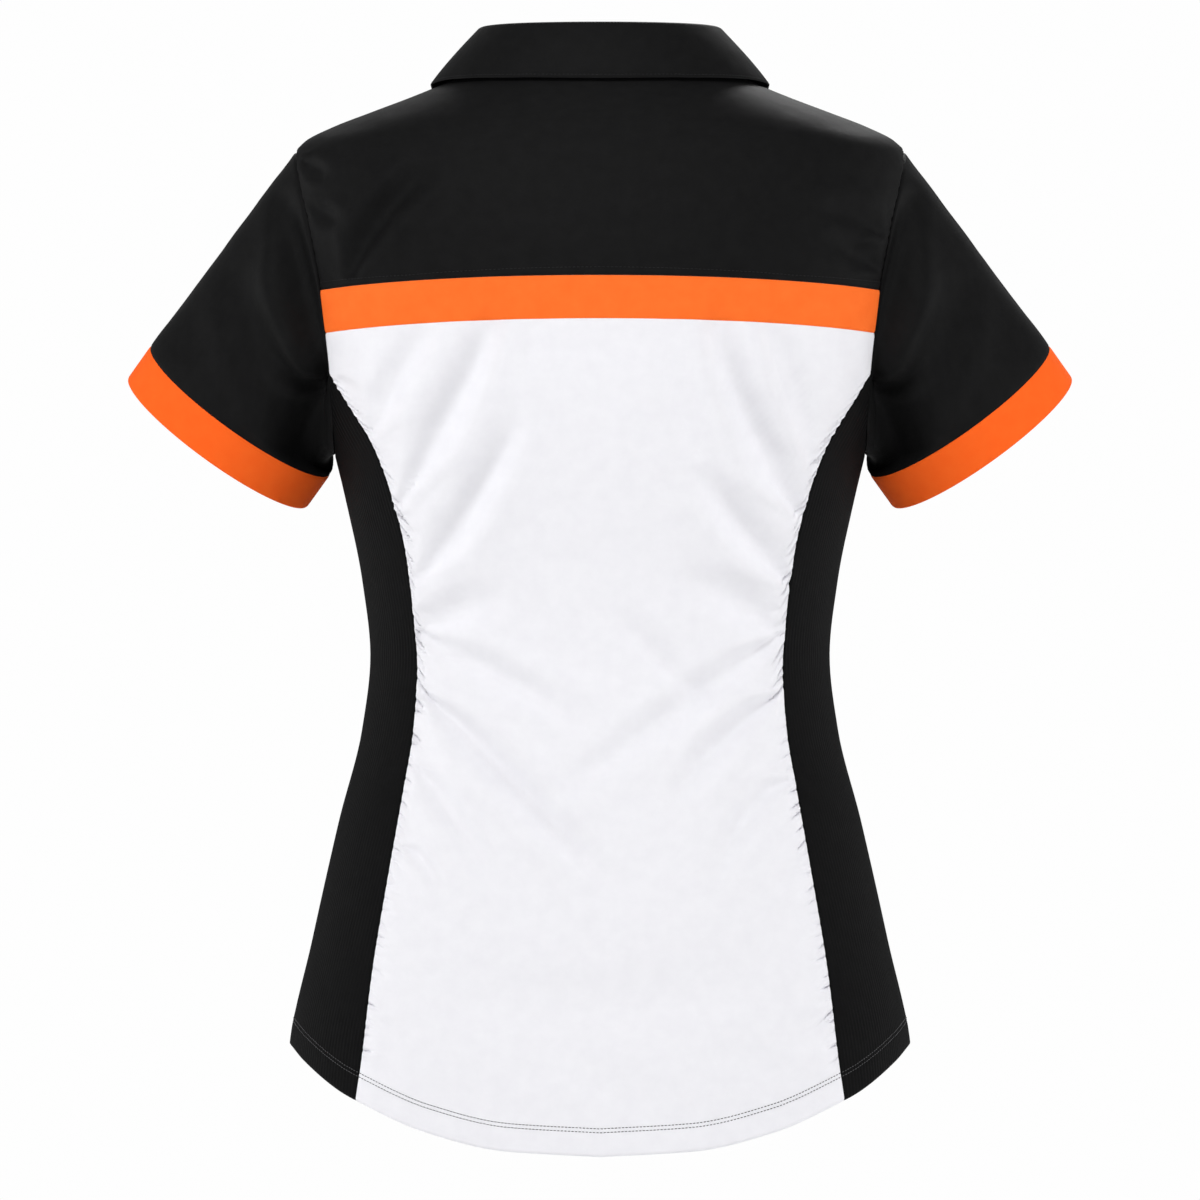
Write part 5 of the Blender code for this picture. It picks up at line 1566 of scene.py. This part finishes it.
placket_rows = [
    line_across(placket, edge, PLACKET_STITCH_IN, 1) for edge in (placket.left, placket.right)
]
white_stitches = stitches("white_stitches", placket_rows, 0.0026, 0.0021, 0.00036)

# %% [markdown]
# ## Buttons
#
# The front closes with one button on the stand and six on the placket. Each is a small round plate with a
# raised rim and four holes, made from a spun outline with the holes cut out of it, and sewn on with two
# bars of thread.

# %% One button, then seven
BUTTON_TOP = -0.1150
BUTTON_PITCH = 0.0860
BUTTONS_ON_PLACKET = 6
LAID_ON = 0.0006
HOLE_SIDE = 0.00145 * 0.71  # from the button's middle, sideways and up
HOLE_RADIUS = 0.00062
THREAD_RADIUS = 0.00042
BAR_LEVEL = 0.00175
LEG_LEVEL = 0.0004
LEG_LONG = 0.0030
BUTTONHOLE_HALF = 0.0075
BUTTONHOLE_ROWS_APART = 0.0014
BUTTONHOLE_SUNK = 0.0001
BUTTON_OUTLINE = (  # out from the middle, up from the underside
    (0.0000, 0.0000),
    (0.0045, 0.0000),
    (0.0055, 0.0005),
    (0.0057, 0.0011),
    (0.0056, 0.0019),
    (0.0052, 0.0025),
    (0.0046, 0.0026),
    (0.0041, 0.0023),
    (0.0036, 0.0018),
    (0.0030, 0.0016),
    (0.0000, 0.0016),
)


def button_mesh():
    """A spun plate with a raised rim and four holes."""
    shape = bmesh.new()
    outline = [shape.verts.new((out, 0.0, up)) for out, up in BUTTON_OUTLINE]
    edges = [shape.edges.new(pair) for pair in zip(outline[:-1], outline[1:])]
    bmesh.ops.spin(
        shape, geom=outline + edges, cent=(0, 0, 0), axis=(0, 0, 1), angle=2 * np.pi, steps=40, use_merge=True
    )
    bmesh.ops.remove_doubles(shape, verts=shape.verts[:], dist=1e-6)
    bmesh.ops.recalc_face_normals(shape, faces=shape.faces[:])
    plate = in_scene("button", as_mesh(shape, "button"))
    holes = bmesh.new()
    for x, y in ((1, 1), (1, -1), (-1, 1), (-1, -1)):
        bmesh.ops.create_cone(
            holes, cap_ends=True, segments=14, radius1=HOLE_RADIUS, radius2=HOLE_RADIUS, depth=0.01,
            matrix=Matrix.Translation((x * HOLE_SIDE, y * HOLE_SIDE, 0.001)),
        )
    cutter = in_scene("holes", as_mesh(holes, "holes"))
    cut = plate.modifiers.new("holes", "BOOLEAN")
    cut.object = cutter
    cut.solver = "EXACT"
    finished(plate)
    result = plate.data
    bpy.data.objects.remove(plate)
    bpy.data.objects.remove(cutter)
    return result


def button_places():
    """Where each button's underside lies and the way it faces."""
    middle = np.array((-np.pi / 2,))
    points, outward, height = stand_frame(middle)
    on_stand = points[0] - outward[0] * (STAND_SEAM + STAND_LEAN / 2) + np.array((0.0, 0.0, height[0] / 2))
    tilted = unit(outward[0] + np.array((0.0, 0.0, STAND_LEAN / height[0])))
    yield on_stand + tilted * LAID_ON, tilted
    for number in range(BUTTONS_ON_PLACKET):
        level = np.array((BUTTON_TOP - BUTTON_PITCH * number,))
        points, outward = form(middle, level)
        yield points[0] + outward[0] * (2 * WALL + PLACKET_CLEAR + LAID_ON), outward[0]


def placed_by(x, y, z, place):
    """The transform that turns the axes to these three ways and moves the origin to a place."""
    turned = np.eye(4)
    turned[:3] = np.stack((x, y, z, place), axis=-1)
    return Matrix(turned.tolist())


def thread_rod(shape, placed, length):
    """Adds one short round rod of thread."""
    bmesh.ops.create_cone(
        shape, cap_ends=True, segments=8, radius1=THREAD_RADIUS, radius2=THREAD_RADIUS, depth=length,
        matrix=placed,
    )


plate = button_mesh()
thread_bars = bmesh.new()
hole_rims = []
for number, (place, way) in enumerate(button_places(), start=1):
    across = np.array((1.0, 0.0, 0.0))
    up_way = unit(np.cross(way, across))
    placed = placed_by(np.cross(up_way, way), up_way, way, place)
    mesh = plate.copy()
    mesh.transform(placed)
    button = in_scene(f"sewn_button_{number}", mesh)
    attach(button, "root")
    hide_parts(f"button_{number}")
    pieces[f"button_{number}"] = button
    for y in (-1, 1):
        bar = Matrix.Translation((0.0, y * HOLE_SIDE, BAR_LEVEL)) @ TURN_X
        thread_rod(thread_bars, placed @ bar, 2 * HOLE_SIDE)
        for x in (-1, 1):
            leg = Matrix.Translation((x * HOLE_SIDE, y * HOLE_SIDE, LEG_LEVEL))
            thread_rod(thread_bars, placed @ leg, LEG_LONG)
    # the buttonhole: level on the stand, upright on the placket
    run = np.cross(up_way, way) if number == 1 else up_way
    beside = up_way if number == 1 else np.cross(up_way, way)
    for side in (-1, 1):
        centre = place - way * (LAID_ON - BUTTONHOLE_SUNK) + beside * side * BUTTONHOLE_ROWS_APART / 2
        ends = np.array([centre - run * BUTTONHOLE_HALF, centre + run * BUTTONHOLE_HALF])
        hole_rims.append((ends, np.array([way, way])))
button_thread = in_scene("button_thread", as_mesh(thread_bars, "button_thread"))
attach(button_thread, "root")
buttonholes = stitches("buttonhole_stitches", hole_rims, 0.00052, 0.00046, 0.0011, seed=9)
print("buttons:", BUTTONS_ON_PLACKET + 1)

# %% [markdown]
# ## The cloth as a material
#
# Poplin is a plain weave: each thread passes over one and under the next. The group below draws that weave
# from the piece's own map, which is in metres. It is used by every woven piece, so it is made once as a
# node group with named inputs. Its height feeds a bump, and its unevenness, a soft noise over the same map,
# sets a faint random tone in the cloth's colour.


# %% A plain weave, as a node group
def math(tree, operation, first, second=None):
    """A math node whose inputs are sockets or plain numbers."""
    node = tree.nodes.new("ShaderNodeMath")
    node.operation = operation
    for index, value in enumerate((first, second)):
        if value is None:
            continue
        if isinstance(value, (int, float)):
            node.inputs[index].default_value = value
        else:
            tree.links.new(value, node.inputs[index])
    return node.outputs[0]


def socket(tree, name, kind, way, value=None):
    """A named input or output of a node group."""
    made = tree.interface.new_socket(name=name, in_out=way, socket_type=kind)
    if value is not None:
        made.default_value = value
    return made


def weave_group():
    """Plain weave: a height and a random unevenness from a map in metres."""
    tree = bpy.data.node_groups.new("Plain weave", "ShaderNodeTree")
    socket(tree, "Map", "NodeSocketVector", "INPUT")
    socket(tree, "Threads per metre", "NodeSocketFloat", "INPUT", 2400.0)
    socket(tree, "Height", "NodeSocketFloat", "OUTPUT")
    socket(tree, "Uneven", "NodeSocketFloat", "OUTPUT")
    source = tree.nodes.new("NodeGroupInput")
    target = tree.nodes.new("NodeGroupOutput")
    scaled = tree.nodes.new("ShaderNodeVectorMath")
    scaled.operation = "SCALE"
    tree.links.new(source.outputs["Map"], scaled.inputs[0])
    tree.links.new(source.outputs["Threads per metre"], scaled.inputs["Scale"])
    split = tree.nodes.new("ShaderNodeSeparateXYZ")
    tree.links.new(scaled.outputs[0], split.inputs[0])
    heights = []
    for along, over in ((0, 1), (1, 0)):
        across_thread = split.outputs[along]
        down_thread = split.outputs[over]
        number = math(tree, "FLOOR", across_thread)
        rounded = math(tree, "ABSOLUTE", math(tree, "SINE", math(tree, "MULTIPLY", across_thread, np.pi)))
        phase = math(tree, "ADD", math(tree, "ADD", down_thread, number), 0.0 if along == 0 else 1.0)
        wave = math(tree, "SINE", math(tree, "MULTIPLY", phase, np.pi))
        lifted = math(tree, "ADD", math(tree, "MULTIPLY", wave, 0.5), 0.5)
        heights.append(math(tree, "MULTIPLY", rounded, lifted))
    tree.links.new(math(tree, "MAXIMUM", *heights), target.inputs["Height"])
    noise = tree.nodes.new("ShaderNodeTexNoise")
    noise.inputs["Scale"].default_value = 90.0
    noise.inputs["Detail"].default_value = 5.0
    noise.inputs["Roughness"].default_value = 0.6
    tree.links.new(source.outputs["Map"], noise.inputs["Vector"])
    tree.links.new(noise.outputs["Fac"], target.inputs["Uneven"])
    return tree


weave = weave_group()
print("weave nodes:", len(weave.nodes))

# %% [markdown]
# ## Colours and finishes
#
# The white is a cool off-white. The black cloths are matt. Every cloth gets a faint unevenness in its
# colour and small soft wrinkles in its bump, because no worn-in cloth is perfectly even.


# %% Woven cloth
POPLIN_THREADS = 2600.0  # a metre
POPLIN_RELIEF = 0.00003
KNIT_THREADS = 1500.0
KNIT_RELIEF = 0.00006
WRINKLES_PER_METRE = 55.0
WRINKLE_DETAIL = 3.0
WRINKLE_ROUGHNESS = 0.45
UNEVEN_FROM = 0.30  # share of the unevenness under which the cloth has its dark colour
UNEVEN_TO = 0.70


def woven(name, dark, light, roughness, specular, sheen, threads, weave_depth, wrinkle_depth):
    """A woven cloth between two close colours, with its weave and fine wrinkles in the bump."""
    material = bpy.data.materials.new(name)
    material.use_nodes = True
    tree = material.node_tree
    shader = tree.nodes["Principled BSDF"]
    shader.inputs["Roughness"].default_value = roughness
    shader.inputs["Specular IOR Level"].default_value = specular
    shader.inputs["Sheen Weight"].default_value = sheen
    shader.inputs["Sheen Roughness"].default_value = 0.5
    map_node = tree.nodes.new("ShaderNodeUVMap")
    map_node.uv_map = "cloth"
    group = tree.nodes.new("ShaderNodeGroup")
    group.node_tree = weave
    group.inputs["Threads per metre"].default_value = threads
    tree.links.new(map_node.outputs["UV"], group.inputs["Map"])
    ramp = tree.nodes.new("ShaderNodeValToRGB")
    ramp.color_ramp.elements[0].position = UNEVEN_FROM
    ramp.color_ramp.elements[0].color = (*dark, 1.0)
    ramp.color_ramp.elements[1].position = UNEVEN_TO
    ramp.color_ramp.elements[1].color = (*light, 1.0)
    tree.links.new(group.outputs["Uneven"], ramp.inputs["Fac"])
    tree.links.new(ramp.outputs["Color"], shader.inputs["Base Color"])
    place = tree.nodes.new("ShaderNodeTexCoord")
    wrinkles = tree.nodes.new("ShaderNodeTexNoise")
    wrinkles.inputs["Scale"].default_value = WRINKLES_PER_METRE
    wrinkles.inputs["Detail"].default_value = WRINKLE_DETAIL
    wrinkles.inputs["Roughness"].default_value = WRINKLE_ROUGHNESS
    tree.links.new(place.outputs["Object"], wrinkles.inputs["Vector"])
    soft = tree.nodes.new("ShaderNodeBump")
    soft.inputs["Strength"].default_value = 1.0
    soft.inputs["Distance"].default_value = wrinkle_depth
    tree.links.new(wrinkles.outputs["Fac"], soft.inputs["Height"])
    fine = tree.nodes.new("ShaderNodeBump")
    fine.inputs["Strength"].default_value = 1.0
    fine.inputs["Distance"].default_value = weave_depth
    tree.links.new(group.outputs["Height"], fine.inputs["Height"])
    tree.links.new(soft.outputs["Normal"], fine.inputs["Normal"])
    tree.links.new(fine.outputs["Normal"], shader.inputs["Normal"])
    return material


white = woven(
    "white poplin", (0.830, 0.825, 0.862), (0.862, 0.858, 0.892), roughness=0.85, specular=0.10, sheen=0.05,
    threads=POPLIN_THREADS, weave_depth=POPLIN_RELIEF, wrinkle_depth=0.0006,
)
black = woven(
    "black poplin", (0.0048, 0.0048, 0.0050), (0.0067, 0.0067, 0.0069),
    roughness=0.62, specular=0.07, sheen=0.0,
    threads=POPLIN_THREADS, weave_depth=POPLIN_RELIEF, wrinkle_depth=0.0006,
)
orange = woven(
    "orange poplin", (0.965, 0.158, 0.022), (1.000, 0.175, 0.027), roughness=0.80, specular=0.08, sheen=0.0,
    threads=POPLIN_THREADS, weave_depth=POPLIN_RELIEF, wrinkle_depth=0.0004,
)
cuff_orange = woven(
    "orange poplin of the sleeve bands", (0.985, 0.125, 0.014), (1.000, 0.140, 0.017),
    roughness=0.80, specular=0.06, sheen=0.0,
    threads=POPLIN_THREADS, weave_depth=POPLIN_RELIEF, wrinkle_depth=0.0004,
)
knit = woven(
    "ribbed knit", (0.0028, 0.0028, 0.0030), (0.0040, 0.0040, 0.0042),
    roughness=0.66, specular=0.06, sheen=0.0,
    threads=KNIT_THREADS, weave_depth=KNIT_RELIEF, wrinkle_depth=0.0002,
)


# %% Thread and button plastic
THREAD_GRAIN = (4000.0, 0.00003)  # grains a metre and their depth
BUTTON_GRAIN = (300.0, 0.000008)
FLOOR_GRAIN = (3.0, 0.0001)


def plain(name, colour, roughness, specular, grain_scale, grain_depth):
    """A plain finish with a fine grain in its bump."""
    material = bpy.data.materials.new(name)
    material.use_nodes = True
    tree = material.node_tree
    shader = tree.nodes["Principled BSDF"]
    shader.inputs["Roughness"].default_value = roughness
    shader.inputs["Specular IOR Level"].default_value = specular
    place = tree.nodes.new("ShaderNodeTexCoord")
    grain = tree.nodes.new("ShaderNodeTexNoise")
    grain.inputs["Scale"].default_value = grain_scale
    grain.inputs["Detail"].default_value = 2.0
    tree.links.new(place.outputs["Object"], grain.inputs["Vector"])
    ramp = tree.nodes.new("ShaderNodeValToRGB")
    ramp.color_ramp.elements[0].color = (*(0.88 * c for c in colour), 1.0)
    ramp.color_ramp.elements[1].color = (*colour, 1.0)
    tree.links.new(grain.outputs["Fac"], ramp.inputs["Fac"])
    tree.links.new(ramp.outputs["Color"], shader.inputs["Base Color"])
    bump = tree.nodes.new("ShaderNodeBump")
    bump.inputs["Distance"].default_value = grain_depth
    tree.links.new(grain.outputs["Fac"], bump.inputs["Height"])
    tree.links.new(bump.outputs["Normal"], shader.inputs["Normal"])
    return material


grey_thread = plain("grey thread", (0.085, 0.085, 0.088), 0.70, 0.20, *THREAD_GRAIN)
black_thread = plain("black thread", (0.014, 0.014, 0.015), 0.60, 0.25, *THREAD_GRAIN)
white_thread = plain("white thread", (0.820, 0.820, 0.845), 0.70, 0.20, *THREAD_GRAIN)
button_plastic = plain("black button", (0.013, 0.013, 0.014), 0.28, 0.50, *BUTTON_GRAIN)

FINISHES = {
    "back_panel": white, "front_left": white, "front_right": white, "front_placket": white,
    "back_band": orange, "sleeve_band_left": cuff_orange, "sleeve_band_right": cuff_orange,
    "back_yoke": black, "sleeve_left": black, "sleeve_right": black,
    "collar_stand": black, "collar_fall": black,
    "side_panel_left": knit, "side_panel_right": knit,
}
for node, piece in pieces.items():
    piece.data.materials.clear()
    piece.data.materials.append(FINISHES.get(node, button_plastic))
for piece, finish, slot in (
    (hem_stitches, grey_thread, "white_cloth"),
    (black_stitches, black_thread, "black_cloth"),
    (white_stitches, white_thread, "white_cloth"),
    (button_thread, black_thread, "button_black"),
    (buttonholes, white_thread, "white_cloth"),
):
    piece.data.materials.append(finish)
print("finishes:", len(bpy.data.materials))

# %% [markdown]
# ## Studio
#
# The photo was taken square-on against plain white. The backdrop is a large pale sphere round the shirt, so
# the shirt can be seen from any side. A pale floor lies well below the hem. The camera doesn't see it: it
# only sends light back up. The light is soft: an even pale surround, and behind and before the shirt one
# large high lamp with a low one on each side of it, which show the creases.


# %% Floor and backdrop
def plain_light(name, colour, strength):
    """A backdrop that glows evenly, so that it reads as plain white."""
    material = bpy.data.materials.new(name)
    material.use_nodes = True
    tree = material.node_tree
    tree.nodes.clear()
    glow = tree.nodes.new("ShaderNodeEmission")
    glow.inputs["Color"].default_value = (*colour, 1.0)
    glow.inputs["Strength"].default_value = strength
    out = tree.nodes.new("ShaderNodeOutputMaterial")
    tree.links.new(glow.outputs[0], out.inputs["Surface"])
    return material


FLOOR_LEVEL = -1.30
FLOOR_RADIUS = 6.0
BACKDROP_RADIUS = 10.0
BACKDROP_GLOW = 0.99
shape = bmesh.new()
bmesh.ops.create_circle(
    shape, cap_ends=True, segments=96, radius=FLOOR_RADIUS, matrix=Matrix.Translation((0, 0, FLOOR_LEVEL))
)
floor = in_scene("floor", as_mesh(shape, "floor"))
floor.data.materials.append(plain("pale floor", (0.90, 0.90, 0.90), 0.9, 0.1, *FLOOR_GRAIN))
floor.visible_camera = False
floor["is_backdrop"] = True

shape = bmesh.new()
bmesh.ops.create_uvsphere(shape, u_segments=64, v_segments=32, radius=BACKDROP_RADIUS)
bmesh.ops.reverse_faces(shape, faces=shape.faces[:])
backdrop = in_scene("backdrop", as_mesh(shape, "backdrop"))
backdrop.data.materials.append(plain_light("plain backdrop", (1.0, 1.0, 1.0), BACKDROP_GLOW))
backdrop.visible_diffuse = False
backdrop.visible_glossy = False
backdrop.visible_shadow = False
backdrop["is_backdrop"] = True

# %% Lamps and surround
SURROUND_STRENGTH = 0.36
LAMP_AIM = (0.0, 0.0, -0.3)
LAMPS = (  # name, place, width in metres, watts
    ("key behind", (0.5, 2.8, 2.4), 1.3, 71.0),
    ("left fill behind", (3.3, 1.4, -0.4), 1.6, 35.0),
    ("right fill behind", (-3.3, 1.4, -0.4), 1.6, 39.0),
    ("key before", (-0.5, -2.8, 2.4), 1.3, 78.0),
    ("left fill before", (3.3, -1.4, -0.4), 1.6, 16.0),
    ("right fill before", (-3.3, -1.4, -0.4), 1.6, 16.0),
)
world = bpy.data.worlds.new("surround")
bpy.context.scene.world = world
world.use_nodes = True
surround = world.node_tree.nodes["Background"]
surround.inputs["Color"].default_value = (1.0, 1.0, 1.0, 1.0)
surround.inputs["Strength"].default_value = SURROUND_STRENGTH


def lamp(name, place, size, power):
    """A large square lamp that looks at the shirt's middle."""
    light = bpy.data.lights.new(name, "AREA")
    light.size = size
    light.energy = power
    z = unit(np.array(place) - np.array(LAMP_AIM))
    x = unit(np.cross((0.0, 0.0, 1.0), z))
    in_scene(name, light).matrix_world = placed_by(x, np.cross(z, x), z, place)


for name, place, size, power in LAMPS:
    lamp(name, place, size, power)

# %% Camera
FRAME_WIDTH = 0.7572  # metres across the photo at the shirt
SENSOR = 36.0
camera_data = bpy.data.cameras.new("camera")
camera_data.sensor_width = SENSOR
camera_data.lens = SENSOR * SIGHT / FRAME_WIDTH
camera = in_scene("camera", camera_data)
camera.matrix_world = Matrix((
    (-1, 0, 0, 0), (0, 0, 1, SIGHT), (0, 1, 0, EYE_LEVEL), (0, 0, 0, 1),
))
bpy.context.scene.camera = camera
print("lens:", round(camera_data.lens, 1), "mm")

# %% Finish
size = {"cad": [list(corner) for corner in cad_box], "visual": [list(corner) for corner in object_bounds()]}
print("sizes:", size)
